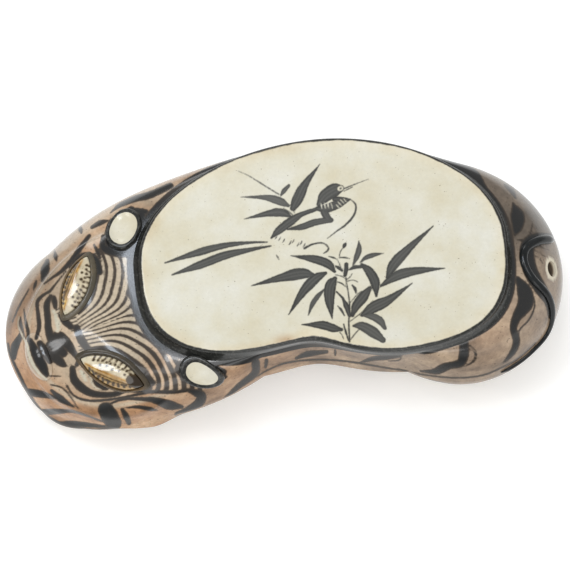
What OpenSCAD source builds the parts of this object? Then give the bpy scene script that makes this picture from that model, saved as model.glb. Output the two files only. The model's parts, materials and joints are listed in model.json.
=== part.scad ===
// Painted stoneware pillow in the form of a crouching tiger, slab-built and press-moulded.
// Millimetres, +Z up, head towards -X, hollow front towards -Y, flat base on z = 0.

/* [Headrest] */
// Reach of the painted rest from its centre towards the head
rest_head = 116; // [108:1:120]
// Reach of the painted rest from its centre towards the rump
rest_rump = 109; // [100:1:113]
// Reach of the painted rest towards the back
rest_back = 70; // [64:1:72]
// Reach of the painted rest towards the hollow front
rest_front = 68; // [62:1:70]
// Depth of the waist hollowed into the front edge of the rest
rest_waist = 13.5; // [6:0.5:18]
// Turn of the rest on the body, in degrees
rest_turn = 5; // [2:0.5:8]
// Height of the rest's edge plane over its centre
rest_height = 104; // [98:1:112]
// Fall of the rest towards the front, in degrees
rest_tilt = 4.5; // [2:0.5:6]
// Sag of the rest in its middle
rest_dish = 4; // [1:0.5:6]
// Thickness of the headrest slab
rest_slab = 8; // [7:0.5:10]
// Width of the rolled black edge round the white rest
rest_roll = 2.5; // [1.5:0.25:3]

/* [Body] */
// Radius of the body under the head
head_lobe = 57.5; // [55:0.5:60]
// Radius of the body at the shoulders
shoulder_lobe = 71; // [69:0.5:73]
// Radius of the body at the waist
waist_lobe = 55; // [53:0.5:57]
// Radius of the body at the rump
rump_lobe = 68; // [66:0.5:70]
// Distance of the head lobe from the middle, towards the head
head_out = 122; // [119:0.5:125]
// Distance of the rump lobe from the middle, towards the rump
rump_out = 110.5; // [108:0.5:114]
// Height of the widest line at the head
belly_head = 45; // [38:1:45]
// Height of the widest line at the rump
belly_rump = 45; // [36:1:45]
// Height of the luted seam between lower and upper body
seam_height = 45; // [45:1:52]
// How far the foot draws in under the widest line
foot_draw = 13; // [10:0.5:15]
// How far the front waist tucks in under the rest
waist_tuck = 5.5; // [0:0.5:7]
// Thickness of the body wall
body_wall = 8; // [6:0.5:10]
// Width of the ledge under the headrest slab
rim_ledge = 11; // [10:0.5:14]

/* [Base] */
// Thickness of the base slab
base_slab_thick = 7; // [5:0.5:9]
// Chamfer wiped round the foot
foot_chamfer = 1.5; // [0.5:0.25:2.5]

/* [Face] */
// Length of the face from the ears to the chin
jaw_length = 90; // [84:1:94]
// Half width of the face at the cheeks
jaw_half = 56; // [52:1:60]
// Step of the jaw over the fore legs
jaw_step = 5; // [2:0.25:6]
// Rise of the bridge of the nose
bridge_rise = 4; // [2:0.5:6]
// Rise of the whisker pads
muzzle_rise = 3; // [1:0.5:5]
// Rise of the paws beside the chin
paw_rise = 1.5; // [0.5:0.25:3]
// Distance of the eyes in front of the ears
eye_ahead = 45.5; // [42:0.5:48]
// Distance between the middles of the eyes
eye_apart = 57; // [54:0.5:60]
// Slant of the eyes, in degrees
eye_slant = 47; // [38:1:54]
// Length of an eyeball
eye_length = 38; // [32:0.5:40]
// Width of an eyeball
eye_width = 14.5; // [11:0.5:15.5]
// Rise of an eyeball
eye_rise = 4.5; // [3.5:0.25:6]
// Width of the rolled eyelid
lid_width = 3.6; // [2.5:0.1:4.5]
// Rise of the rolled eyelid
lid_rise = 1.8; // [1.2:0.1:3]
// Length of an ear
ear_length = 27; // [20:0.5:28]
// Width of an ear
ear_width = 20.5; // [14:0.5:20.5]
// Rise of the ear rim
ear_rise = 3.6; // [2.5:0.1:5]
// Distance of the ear middle from the edge of the rest
ear_off = 13.5; // [13.5:0.25:16]
// Length of the nose pad
nose_length = 15; // [12:0.5:18]
// Width of the nose pad
nose_width = 28; // [20:0.5:30]
// Rise of the nose pad
nose_rise = 3.4; // [2.5:0.1:5]

/* [Tail] */
// Width of the tail coil
tail_width = 6.5; // [5:0.25:8]
// Rise of the tail coil
tail_rise = 3.2; // [2:0.2:4]
// Diameter of the vent bored in the rump
vent_d = 10; // [7:0.5:12]

/* [Joints] */
// How far the coils of the luted joints stand out into the hollow
coil_reach = 4; // [3:0.5:5]
// Slip left between an applied piece and the body
luting_gap = 0.2; // [0.1:0.05:0.25]

/* [Hidden] */
mid_x = 26;
mid_y = 8;
back_power = 1.95;
front_power = 3.2;
waist_at = 253;
waist_spread = 30;
tuck_at = 292;
tuck_spread = 32;
head_power = 2.25;
rump_power = 2.1;
face_x = -76;
face_y = -22;
face_turn = 203.5;
ear_left_turn = 220.8;
ear_right_turn = 175;
ear_left_share = 0.78;
nose_ahead = 80.5;
vent_turn = 358;
vent_rise = 1.48;
columns = 120;
to_middle = [0.51, 2.15, 0];
crowd = 0.52;
tail_path = [[6.5, 1.38], [4.5, 1.66], [1.5, 1.82], [-3, 1.84], [-7, 1.73], [-9.5, 1.48],
             [-12.5, 1.26], [-16, 1.13], [-21, 1.12], [-26, 1.09], [-30, 1.06]];

function mix(a, b, t) = a + (b - a) * t;
function clamp01(t) = min(1, max(0, t));
function ease(e0, e1, x) = let (t = clamp01((x - e0) / (e1 - e0))) t * t * (3 - 2 * t);
function bell(x) = exp(-x * x);
function around(a) = ((a % 360) + 360) % 360;
function unit(v) = v / norm(v);
function along(path, u) =
  let (n = len(path) - 1, i = min(n - 1, floor(u * n)), f = u * n - i,
       p1 = path[i], p2 = path[i + 1],
       p0 = i > 0 ? path[i - 1] : 2 * p1 - p2,
       p3 = i < n - 1 ? path[i + 2] : 2 * p2 - p1)
  0.5 * (2 * p1 + (p2 - p0) * f + (2 * p0 - 5 * p1 + 4 * p2 - p3) * f * f
         + (3 * p1 - p0 - 3 * p2 + p3) * f * f * f);

// Column angles, closer together over the face
turns = [for (i = [0 : columns - 1]) let (f = 360 * i / columns - 180)
         around(face_turn - 5 + f - crowd * sin(f) * 180 / PI)];

// Body plan: circles strung on a bent spine from head to rump
spine_knots = [[-head_out, -28.5, head_lobe], [-72, -8, shoulder_lobe],
               [25.5, 30, waist_lobe], [rump_out, 7, rump_lobe]];
spine = [for (i = [0 : 48]) along(spine_knots, i / 48)];
function circle_reach(th, c, draw) =
  let (dx = c.x - mid_x, dy = c.y - mid_y, r = c.z - draw,
       b = dx * cos(th) + dy * sin(th), k = b * b - dx * dx - dy * dy + r * r)
  k > 0 ? b + sqrt(k) : 0;
belly_reach = [for (th = [0 : 360]) max([for (c = spine) circle_reach(th, c, 0)])];
foot_reach = [for (th = [0 : 360]) max([for (c = spine) circle_reach(th, c, foot_draw)])];
function read_turn(table, th) =
  let (a = around(th), i = min(359, floor(a))) mix(table[i], table[i + 1], a - i);

// Kidney outline of the painted rest
function rest_radius(th, grow = 0) =
  let (a = th - rest_turn, c = cos(a), s = sin(a),
       lx = (c < 0 ? rest_head : rest_rump) + grow,
       ly = (s > 0 ? rest_back : rest_front) + grow,
       n = s > 0 ? back_power : front_power,
       r = pow(pow(abs(c) / lx, n) + pow(abs(s) / ly, n), -1 / n))
  r * (1 - rest_waist / rest_front * bell((around(a) - waist_at) / waist_spread));
function rest_plane(x, y) = rest_height - rest_slab + (y - mid_y) * tan(rest_tilt);
function at_turn(th, r) = [mid_x + r * cos(th), mid_y + r * sin(th)];

// Profile of the wall in one column: rim radius and height, belly radius, foot radius, belly height, power
function column(th) =
  let (rr = rest_radius(th, rest_roll), p = at_turn(th, rr),
       tuck = waist_tuck * bell((around(th) - tuck_at) / tuck_spread),
       rb = max(read_turn(belly_reach, th), rr + 1.5 - tuck),
       k = ease(-60, 40, mid_x + rb * cos(th)))
  [rr, rest_plane(p.x, p.y), rb, min(read_turn(foot_reach, th), rb),
   mix(belly_head, belly_rump, k), mix(head_power, rump_power, k)];
function seam_angle(c) = asin(pow(clamp01((seam_height - c[4]) / (c[1] - c[4])), c[5] / 2));
function side_radius(c, z) =
  z >= c[4] ? c[0] + (c[2] - c[0]) * pow(1 - pow((z - c[4]) / (c[1] - c[4]), c[5]), 1 / c[5])
            : c[2] + (c[3] - c[2]) * pow(1 - z / c[4], 1.6);

// Plain wall: t = 0 at the ground, 1 at the seam, 2 at the rim
function plain(th, t) =
  let (c = column(th), a0 = seam_angle(c), a = mix(a0, 90, clamp01(t - 1)),
       z = t > 1 ? c[4] + (c[1] - c[4]) * pow(sin(a), 2 / c[5]) : max(0, t) * seam_height,
       r = t > 1 ? c[0] + (c[2] - c[0]) * pow(max(0, cos(a)), 2 / c[5]) : side_radius(c, z),
       p = at_turn(th, r))
  [p.x, p.y, z];
function outward(th, t) =
  let (e = 0.02, u = plain(th + 0.6, t) - plain(th - 0.6, t),
       v = plain(th, min(2, t + e)) - plain(th, max(0, t - e)), n = cross(u, v))
  unit([n.x, n.y, n.z * ease(1, 1.25, t)]);

// Face frame: distance ahead of the ears and towards the left cheek
function face_of(p) =
  let (dx = p.x - face_x, dy = p.y - face_y)
  [dx * cos(face_turn) + dy * sin(face_turn), -dx * sin(face_turn) + dy * cos(face_turn)];
function face_plan(a, b) =
  [face_x + a * cos(face_turn) - b * sin(face_turn), face_y + a * sin(face_turn) + b * cos(face_turn)];
function plan_spot(q) =
  let (th = atan2(q.y - mid_y, q.x - mid_x), c = column(th), a0 = seam_angle(c),
       k = clamp01((norm([q.x - mid_x, q.y - mid_y]) - c[0]) / (c[2] - c[0])),
       a = acos(pow(k, c[5] / 2)))
  [th, 1 + (a - a0) / (90 - a0)];

// Moulded relief of jaw, nose bridge, whisker pads and paws
function relief(p, t) =
  let (f = face_of(p), a = f.x, b = abs(f.y),
       e = pow(pow(max(0, a) / jaw_length, 2.3) + pow(b / jaw_half, 2.3), 1 / 2.3),
       front = ease(10, 34, a),
       jaw = jaw_step * (1 - ease(0.95, 1.03, e)) - 0.4 * jaw_step * bell((e - 1.06) / 0.04),
       bridge = bridge_rise * bell(b / 10) * ease(36, 62, a) * (1 - ease(84, 98, a)),
       muzzle = muzzle_rise * bell((a - 73) / 13) * bell((b - 15) / 11),
       paw = paw_rise * bell((b - 27) / 17) * bell((p.z - 15) / 15) * ease(55, 85, a))
  t > 1.98 ? 0 : front * (jaw + bridge + muzzle) * (1 - ease(1.78, 1.98, t)) + paw;
function lifted(th, t, h) = let (p = plain(th, t)) p + outward(th, t) * (relief(p, t) + h);
// Frame on the wall at a spot: spot, point, two tangents, steps per degree and per t
function seat(s, spin) =
  let (p = plain(s[0], s[1]), eth = plain(s[0] + 0.5, s[1]) - plain(s[0] - 0.5, s[1]),
       et = (plain(s[0], s[1] + 0.01) - plain(s[0], s[1] - 0.01)) / 0.02,
       n = unit(cross(eth, et)), d = [cos(spin), sin(spin), 0], x = unit(d - n * (d * n)))
  [s, p, x, cross(n, x), eth, et];
function solve(f, r) =
  let (aa = f[4] * f[4], ab = f[4] * f[5], bb = f[5] * f[5], u = f[4] * r, v = f[5] * r,
       k = aa * bb - ab * ab)
  [(bb * u - ab * v) / k, (aa * v - ab * u) / k];
// Wall point straight under a place on the tangent plane, lifted by h
function stepped(f, q, h) =
  let (w = f[2] * q.x + f[3] * q.y, s1 = f[0] + solve(f, w), d1 = plain(s1[0], min(1.99, s1[1])) - f[1],
       s2 = s1 + solve(f, w - f[2] * (d1 * f[2]) - f[3] * (d1 * f[3])))
  lifted(s2[0], min(1.99, s2[1]), h);
function inside(th, t, d) = plain(th, t) - outward(th, t) * d;

// Solids from rows of points
function wrap_faces(rows, n, close) =
  [for (j = [0 : rows - (close ? 1 : 2)], i = [0 : n - 1], k = [0, 1])
    let (a = j * n + i, b = j * n + (i + 1) % n,
         c = ((j + 1) % rows) * n + i, d = ((j + 1) % rows) * n + (i + 1) % n)
    k == 0 ? [a, c, b] : [b, c, d]];
function flat(rows) = [for (r = rows) for (p = r) p];
module ring_solid(rows) {
  n = len(rows[0]);
  translate(to_middle)
    polyhedron(flat(rows), wrap_faces(len(rows), n, true));
}
module capped_solid(rows) {
  n = len(rows[0]);
  m = len(rows);
  low = [for (i = [0 : n - 1]) i];
  high = [for (i = [n - 1 : -1 : 0]) (m - 1) * n + i];
  translate(to_middle)
    polyhedron(flat(rows), concat([low], wrap_faces(m, n, false), [high]));
}
module domed_solid(rows, first, last) {
  n = len(rows[0]);
  m = len(rows);
  low = [for (i = [0 : n - 1]) [m * n, i, (i + 1) % n]];
  high = [for (i = [0 : n - 1]) [m * n + 1, (m - 1) * n + (i + 1) % n, (m - 1) * n + i]];
  translate(to_middle)
    polyhedron(concat(flat(rows), [first, last]), concat(low, wrap_faces(m, n, false), high));
}

// Loops round the body
function outer_loop(t) = [for (th = turns) lifted(th, t, 0)];
function inner_loop(t, d) = [for (th = turns) inside(th, t, d)];
function plane_loop(inset, drop) =
  [for (th = turns) let (p = at_turn(th, rest_radius(th, rest_roll) - inset))
    [p.x, p.y, rest_plane(p.x, p.y) - drop]];
foot_t = base_slab_thick / seam_height;

module base_slab() {
  wiped = [for (th = turns) let (p = lifted(th, 0, 0), n = outward(th, 0.02))
           [p.x, p.y, 0] - unit([n.x, n.y, 0]) * foot_chamfer];
  color([0.72, 0.66, 0.55])
    capped_solid([wiped, outer_loop(foot_chamfer / seam_height), outer_loop(foot_t)]);
}

module lower_body() {
  rises = [0, 0.3, 0.65, 1];
  color([0.66, 0.53, 0.4])
    ring_solid(concat([for (k = rises) outer_loop(mix(foot_t, 1, k))],
                      [for (k = [1, 0.5, 0]) inner_loop(mix(foot_t, 1, k), body_wall)]));
}

module upper_body() {
  rises = [1, 1.1, 1.2, 1.3, 1.4, 1.5, 1.6, 1.7, 1.8, 1.9, 2];
  c = lifted(vent_turn, vent_rise, 0);
  n = outward(vent_turn, vent_rise);
  color([0.62, 0.5, 0.38])
    difference() {
      ring_solid(concat([for (t = rises) outer_loop(t)],
                        [plane_loop(rim_ledge, 0), plane_loop(rim_ledge, body_wall)],
                        [for (t = [1.86, 1.7, 1.5, 1.25, 1]) inner_loop(t, body_wall)]));
      translate(c + to_middle)
        rotate([0, acos(n.z), atan2(n.y, n.x)])
          cylinder(h = 6 * body_wall, d = vent_d, center = true, $fn = 32);
    }
}

// Headrest slab with its rolled edge, coved down to the body
function skirt(th) = let (c = column(th)) max(0.2, min(3.2, 0.11 * (c[2] - c[0])));
function slab_loop(grow, up) =
  [for (th = turns) let (p = at_turn(th, rest_radius(th) + grow)) [p.x, p.y, rest_plane(p.x, p.y) + up]];
function cove_loop(share, up) =
  [for (th = turns) let (p = at_turn(th, rest_radius(th, rest_roll) + share * skirt(th)))
    [p.x, p.y, rest_plane(p.x, p.y) + up]];
function dished_loop(f, up) =
  [for (th = turns) let (p = at_turn(th, f * rest_radius(th)))
    [p.x, p.y, rest_plane(p.x, p.y) + up - rest_dish * (1 - pow(f / 0.84, 2)) * (f < 0.84 ? 1 : 0)]];
function top_loop(f) =
  [for (th = turns) let (p = at_turn(th, f * rest_radius(th)))
    [p.x, p.y, rest_plane(p.x, p.y) + rest_slab - rest_dish * (1 - f * f)]];

module headrest_slab() {
  middle = [mid_x, mid_y, rest_plane(mid_x, mid_y)];
  color([0.93, 0.9, 0.82])
    domed_solid([dished_loop(0.45, 0), dished_loop(0.84, 0),
                 cove_loop(1, 0), cove_loop(0.3, 0.25 * rest_slab),
                 cove_loop(0, 0.55 * rest_slab), slab_loop(0.7 * rest_roll, 0.88 * rest_slab),
                 top_loop(1), top_loop(0.8), top_loop(0.5)],
                middle - [0, 0, rest_dish], middle + [0, 0, rest_slab - rest_dish]);
}

// Pieces laid on the wall: outlines round a middle
function lens(w, l, g, p) =
  [for (i = [0 : 27]) let (f = 360 * i / 28)
    [(l / 2 + g) * cos(f), (w / 2 + g) * sin(f) * pow(abs(sin(f)), p)]];
function oval(l, w, p) =
  [for (i = [0 : 23]) let (f = 15 * i)
    [l / 2 * sign(cos(f)) * pow(abs(cos(f)), p), w / 2 * sign(sin(f)) * pow(abs(sin(f)), p)]];
function set_down(pts, f, k, h) = [for (q = pts) stepped(f, k * q, h)];

function eye_seat(side) =
  seat(plan_spot(face_plan(eye_ahead, side * eye_apart / 2)), face_turn + side * (180 - eye_slant));

module eyeball(side) {
  f = eye_seat(side);
  o = lens(eye_width, eye_length, 0, 0.55);
  g = luting_gap;
  color([0.9, 0.87, 0.76])
    domed_solid([set_down(o, f, 0.5, g), set_down(o, f, 1, g), set_down(o, f, 1, g + 0.2 * eye_rise),
                 set_down(o, f, 0.75, g + 0.52 * eye_rise), set_down(o, f, 0.42, g + 0.78 * eye_rise),
                 set_down(o, f, 0.16, g + 0.95 * eye_rise)],
                stepped(f, [0, 0], g), stepped(f, [0, 0], g + eye_rise));
}

module eyelid(side) {
  f = eye_seat(side);
  g = luting_gap;
  near = lens(eye_width, eye_length, 1.5 * luting_gap, 0.5);
  mid = lens(eye_width, eye_length, 0.45 * lid_width, 0.42);
  far = lens(eye_width, eye_length, lid_width, 0.35);
  color([0.2, 0.2, 0.2])
    ring_solid([set_down(near, f, 1, g), set_down(mid, f, 1, g), set_down(far, f, 1, g),
                set_down(far, f, 1, g + 0.3 * lid_rise), set_down(mid, f, 1, g + lid_rise),
                set_down(near, f, 1, g + 0.65 * lid_rise)]);
}

module left_eyeball() {
  eyeball(1);
}

module right_eyeball() {
  eyeball(-1);
}

module left_eyelid() {
  eyelid(1);
}

module right_eyelid() {
  eyelid(-1);
}

// Cupped ear beside the edge of the rest
function rim_out(th) =
  let (g = at_turn(th + 1, rest_radius(th + 1, rest_roll))
         - at_turn(th - 1, rest_radius(th - 1, rest_roll)))
  unit([g.y, -g.x]);
module ear(turn, share) {
  n = rim_out(turn);
  f = seat(plan_spot(at_turn(turn, rest_radius(turn, rest_roll)) + n * ear_off * share), atan2(n.y, n.x));
  o = oval(ear_width * share, ear_length, 0.9);
  g = luting_gap;
  color([0.86, 0.82, 0.72])
    domed_solid([set_down(o, f, 0.55, g), set_down(o, f, 1, g), set_down(o, f, 1, g + 0.5 * ear_rise),
                 set_down(o, f, 0.9, g + ear_rise), set_down(o, f, 0.76, g + 0.85 * ear_rise),
                 set_down(o, f, 0.55, g + 0.5 * ear_rise), set_down(o, f, 0.25, g + 0.38 * ear_rise)],
                stepped(f, [0, 0], g), stepped(f, [0, 0], g + 0.35 * ear_rise));
}

module left_ear() {
  ear(ear_left_turn, ear_left_share);
}

module right_ear() {
  ear(ear_right_turn, 1);
}

module nose_pad() {
  f = seat(plan_spot(face_plan(nose_ahead, 0)), face_turn);
  o = oval(nose_length, nose_width, 0.85);
  g = luting_gap;
  color([0.15, 0.16, 0.17])
    domed_solid([set_down(o, f, 0.5, g), set_down(o, f, 1, g),
                 set_down(o, f, 1, g + 0.3 * nose_rise), set_down(o, f, 0.78, g + 0.75 * nose_rise),
                 set_down(o, f, 0.4, g + 0.97 * nose_rise)],
                stepped(f, [0, 0], g), stepped(f, [0, 0], g + nose_rise));
}

// Tail rolled out and laid over the rump
function tail_at(u) = let (s = along(tail_path, u)) lifted(s[0], s[1], luting_gap);
function tail_row(u) =
  let (s = along(tail_path, u), n = outward(s[0], s[1]), c = tail_at(u),
       f = unit(tail_at(min(1, u + 0.01)) - tail_at(max(0, u - 0.01))), w = unit(cross(n, f)),
       k = sqrt(clamp01(min(u, 1 - u) / 0.05 + 0.12)) * (1 - 0.35 * u),
       hw = k * tail_width / 2, h = k * tail_rise)
  [c - w * hw, c - w * hw * 0.85 + n * h * 0.6, c - w * hw * 0.35 + n * h, c + w * hw * 0.35 + n * h,
   c + w * hw * 0.85 + n * h * 0.6, c + w * hw];

module tail_coil() {
  color([0.18, 0.19, 0.2])
    capped_solid([for (i = [0 : 48]) tail_row(i / 48)]);
}

// Coils pressed into the joints from inside
module headrest_coil() {
  color([0.75, 0.68, 0.58])
    ring_solid([plane_loop(rim_ledge + 0.75 * coil_reach, luting_gap),
                plane_loop(rim_ledge + luting_gap, luting_gap),
                plane_loop(rim_ledge + luting_gap, 0.8 * body_wall),
                plane_loop(rim_ledge + coil_reach, 0.6 * body_wall)]);
}

module seam_coil() {
  color([0.75, 0.68, 0.58])
    ring_solid([inner_loop(0.84, body_wall + 1), inner_loop(1, body_wall + luting_gap),
                inner_loop(1.03, body_wall + 1.2),
                inner_loop(1.02, body_wall + coil_reach), inner_loop(0.87, body_wall + coil_reach)]);
}

module base_coil() {
  color([0.75, 0.68, 0.58])
    ring_solid([inner_loop(foot_t + 0.003, body_wall + 2 * coil_reach),
                inner_loop(foot_t + 0.003, body_wall + 3 * luting_gap),
                inner_loop(foot_t + 0.14, body_wall + 6 * luting_gap),
                inner_loop(foot_t + 0.1, body_wall + 1.25 * coil_reach)]);
}

base_slab();
lower_body();
upper_body();
headrest_slab();
left_ear();
right_ear();
left_eyeball();
right_eyeball();
left_eyelid();
right_eyelid();
nose_pad();
tail_coil();
headrest_coil();
seam_coil();
base_coil();
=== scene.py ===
import json
import math
import bpy
import numpy as np
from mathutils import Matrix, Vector

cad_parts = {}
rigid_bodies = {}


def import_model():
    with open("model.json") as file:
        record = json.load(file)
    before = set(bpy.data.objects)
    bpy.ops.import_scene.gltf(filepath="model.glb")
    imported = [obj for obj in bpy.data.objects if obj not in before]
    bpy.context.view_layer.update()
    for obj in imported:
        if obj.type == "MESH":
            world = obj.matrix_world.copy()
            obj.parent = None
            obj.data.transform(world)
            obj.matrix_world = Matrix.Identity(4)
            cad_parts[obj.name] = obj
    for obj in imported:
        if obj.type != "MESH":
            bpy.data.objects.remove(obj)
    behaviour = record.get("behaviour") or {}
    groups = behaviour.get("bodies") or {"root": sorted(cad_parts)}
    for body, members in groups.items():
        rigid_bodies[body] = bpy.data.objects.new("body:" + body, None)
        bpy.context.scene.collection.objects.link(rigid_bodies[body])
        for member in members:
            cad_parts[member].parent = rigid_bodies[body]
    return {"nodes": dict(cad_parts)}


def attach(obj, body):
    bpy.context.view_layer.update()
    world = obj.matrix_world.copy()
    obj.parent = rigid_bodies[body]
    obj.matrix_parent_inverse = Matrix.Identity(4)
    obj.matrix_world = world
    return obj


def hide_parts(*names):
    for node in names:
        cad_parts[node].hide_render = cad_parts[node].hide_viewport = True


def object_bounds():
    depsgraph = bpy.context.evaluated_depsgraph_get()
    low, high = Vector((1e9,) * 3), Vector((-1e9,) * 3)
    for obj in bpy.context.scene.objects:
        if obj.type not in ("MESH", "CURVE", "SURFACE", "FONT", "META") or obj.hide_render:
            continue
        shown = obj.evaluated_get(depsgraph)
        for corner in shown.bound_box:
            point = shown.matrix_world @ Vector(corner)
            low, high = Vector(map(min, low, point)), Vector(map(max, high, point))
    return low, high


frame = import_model()
cadBox = [[float(v) for v in corner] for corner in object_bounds()]
scene = bpy.context.scene
print("frame loaded:", len(frame["nodes"]), "nodes")

# the same named sizes as the construction, in millimetres and degrees
toMiddle = np.array([0.51, 2.15, 0.0])   # moves the plan to the middle of the frame
rest = {"head": 116, "rump": 109, "back": 70, "front": 68, "waist": 13.5, "turn": 5, "height": 104,
        "tilt": 4.5, "dish": 4, "slab": 8, "roll": 2.5, "midX": 26, "midY": 8,
        "backPower": 1.95, "frontPower": 3.2, "waistAt": 253, "waistSpread": 30,
        "underRim": 0.84, "underMid": 0.45, "skirtShare": 0.11, "skirtLeast": 0.2, "skirtMost": 3.2}
body = {"spine": [[-122, -28.5, 57.5], [-72, -8, 71], [25.5, 30, 55], [110.5, 7, 68]],
        "tuck": 5.5, "tuckAt": 292, "tuckSpread": 32, "bellyHead": 45, "bellyRump": 45, "seam": 45,
        "footDraw": 13, "footPower": 1.6, "wall": 8, "ledge": 11, "headPower": 2.25, "rumpPower": 2.1,
        "base": 7, "chamfer": 1.5, "columns": 760, "crowd": 0.58, "lowerRows": 36, "upperRows": 116}
face = {"x": -76, "y": -22, "turn": 203.5, "jawLength": 90, "jawHalf": 56, "jawStep": 5, "jawPower": 2.3,
        "bridge": 4, "muzzle": 3, "paw": 1.5, "chin": 4.2}
sharpAngle = math.radians(55)


def mixed(a, b, t):
    return a + (b - a) * t


def ease(e0, e1, x):
    t = np.clip((x - e0) / (e1 - e0), 0, 1)
    return t * t * (3 - 2 * t)


def bell(x):
    return np.exp(-x * x)


def cosd(a):
    return np.cos(np.radians(a))


def sind(a):
    return np.sin(np.radians(a))


def unit(v):
    return v / np.maximum(np.linalg.norm(v, axis=-1, keepdims=True), 1e-9)


# smooth path through knots, u from 0 to 1
def along(path, u):
    path = np.asarray(path, float)
    n = len(path) - 1
    u = np.asarray(u, float) * n
    i = np.clip(np.floor(u).astype(int), 0, n - 1)
    f = (u - i)[..., None]
    ends = np.vstack([2 * path[0] - path[1], path, 2 * path[-1] - path[-2]])
    p0, p1, p2, p3 = ends[i], ends[i + 1], ends[i + 2], ends[i + 3]
    return 0.5 * (2 * p1 + (p2 - p0) * f + (2 * p0 - 5 * p1 + 4 * p2 - p3) * f ** 2
                  + (3 * p1 - p0 - 3 * p2 + p3) * f ** 3)


# body plan: circles strung on a bent spine, read once for every degree
spine = along(body["spine"], np.linspace(0, 1, 49))


def spineReach(draw):
    th = np.arange(361)[:, None]
    dx, dy, r = spine[:, 0] - rest["midX"], spine[:, 1] - rest["midY"], spine[:, 2] - draw
    b = dx * cosd(th) + dy * sind(th)
    k = b * b - dx * dx - dy * dy + r * r
    return np.where(k > 0, b + np.sqrt(np.maximum(k, 0)), 0).max(axis=1)


bellyReach, footReach = spineReach(0), spineReach(body["footDraw"])


def restRadius(th, grow=0.0):
    a = th - rest["turn"]
    c, s = cosd(a), sind(a)
    lx = np.where(c < 0, rest["head"], rest["rump"]) + grow
    ly = np.where(s > 0, rest["back"], rest["front"]) + grow
    n = np.where(s > 0, rest["backPower"], rest["frontPower"])
    r = ((np.abs(c) / lx) ** n + (np.abs(s) / ly) ** n) ** (-1 / n)
    return r * (1 - rest["waist"] / rest["front"] * bell((a % 360 - rest["waistAt"]) / rest["waistSpread"]))


def restPlane(y):
    return rest["height"] - rest["slab"] + (y - rest["midY"]) * math.tan(math.radians(rest["tilt"]))


def atTurn(th, r):
    return rest["midX"] + r * cosd(th), rest["midY"] + r * sind(th)


# points at a height over the plane that the headrest lies on
def onPlane(th, r, up):
    x, y = atTurn(th, r)
    return np.stack([x, y, restPlane(y) + up], -1)


# wall profile at a turn: rim radius and height, belly, foot, belly height, power
def column(th):
    rr = restRadius(th, rest["roll"])
    zr = restPlane(atTurn(th, rr)[1])
    tuck = body["tuck"] * bell((th % 360 - body["tuckAt"]) / body["tuckSpread"])
    rb = np.maximum(np.interp(th % 360, np.arange(361), bellyReach), rr + 1.5 - tuck)
    r0 = np.minimum(np.interp(th % 360, np.arange(361), footReach), rb)
    k = ease(-60, 40, rest["midX"] + rb * cosd(th))
    belly = mixed(body["bellyHead"], body["bellyRump"], k)
    return rr, zr, rb, r0, belly, mixed(body["headPower"], body["rumpPower"], k)


# plain wall: t = 0 on the ground, 1 at the seam, 2 at the rim
def plain(th, t):
    th, t = np.broadcast_arrays(np.asarray(th, float), np.asarray(t, float))
    rr, zr, rb, r0, zb, n = column(th)
    a0 = np.arcsin(np.clip((body["seam"] - zb) / (zr - zb), 0, 1) ** (n / 2))
    a = mixed(a0, math.pi / 2, np.clip(t - 1, 0, 1))
    z = np.where(t > 1, zb + (zr - zb) * np.sin(a) ** (2 / n), np.maximum(0, t) * body["seam"])
    arch = rr + (rb - rr) * np.maximum(0, np.cos(a)) ** (2 / n)
    low = np.where(z >= zb,
                   rr + (rb - rr) * np.maximum(0, 1 - np.maximum(0, (z - zb) / (zr - zb)) ** n) ** (1 / n),
                   rb + (r0 - rb) * np.maximum(0, 1 - z / zb) ** body["footPower"])
    x, y = atTurn(th, np.where(t > 1, arch, low))
    return np.stack([x, y, z], -1)


def outward(th, t):
    th, t = np.broadcast_arrays(np.asarray(th, float), np.asarray(t, float))
    u = plain(th + 0.6, t) - plain(th - 0.6, t)
    v = plain(th, np.minimum(2, t + 0.02)) - plain(th, np.maximum(0, t - 0.02))
    n = np.cross(u, v)
    n[..., 2] *= ease(1, 1.25, t)
    return unit(n)


# face frame: distance ahead of the ears, and towards the left cheek
def faceOf(p):
    dx, dy = p[..., 0] - face["x"], p[..., 1] - face["y"]
    c, s = cosd(face["turn"]), sind(face["turn"])
    return dx * c + dy * s, -dx * s + dy * c


def facePlan(a, b):
    c, s = cosd(face["turn"]), sind(face["turn"])
    return face["x"] + a * c - b * s, face["y"] + a * s + b * c


def jawReach(a, b):
    n = face["jawPower"]
    return ((np.maximum(0, a) / face["jawLength"]) ** n + (np.abs(b) / face["jawHalf"]) ** n) ** (1 / n)


# moulded relief of jaw, nose bridge, whisker pads, paws and chin
def relief(p, t):
    a, cheek = faceOf(p)
    b = np.abs(cheek)
    e = jawReach(a, b)
    jaw = face["jawStep"] * (1 - ease(0.95, 1.03, e)) - 0.12 * face["jawStep"] * bell((e - 1.06) / 0.04)
    bridge = face["bridge"] * bell(b / 10) * ease(36, 62, a) * (1 - ease(84, 98, a))
    muzzle = face["muzzle"] * bell((a - 73) / 13) * bell((b - 15) / 11)
    paw = face["paw"] * bell((b - 27) / 17) * bell((p[..., 2] - 15) / 15) * ease(55, 85, a)
    chin = face["chin"] * bell((cheek - 10) / 13) * bell((p[..., 2] - 22) / 16) * ease(76, 90, a)
    moulded = ease(10, 34, a) * (jaw + bridge + muzzle) * (1 - ease(1.78, 1.98, t))
    return np.where(t > 1.98, 0, moulded + paw + chin)


def lifted(th, t, h=0.0):
    th, t = np.broadcast_arrays(np.asarray(th, float), np.asarray(t, float))
    p = plain(th, t)
    return p + outward(th, t) * (relief(p, t) + h)[..., None]


def inside(th, t, d):
    return plain(th, t) - outward(th, t) * d


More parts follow.
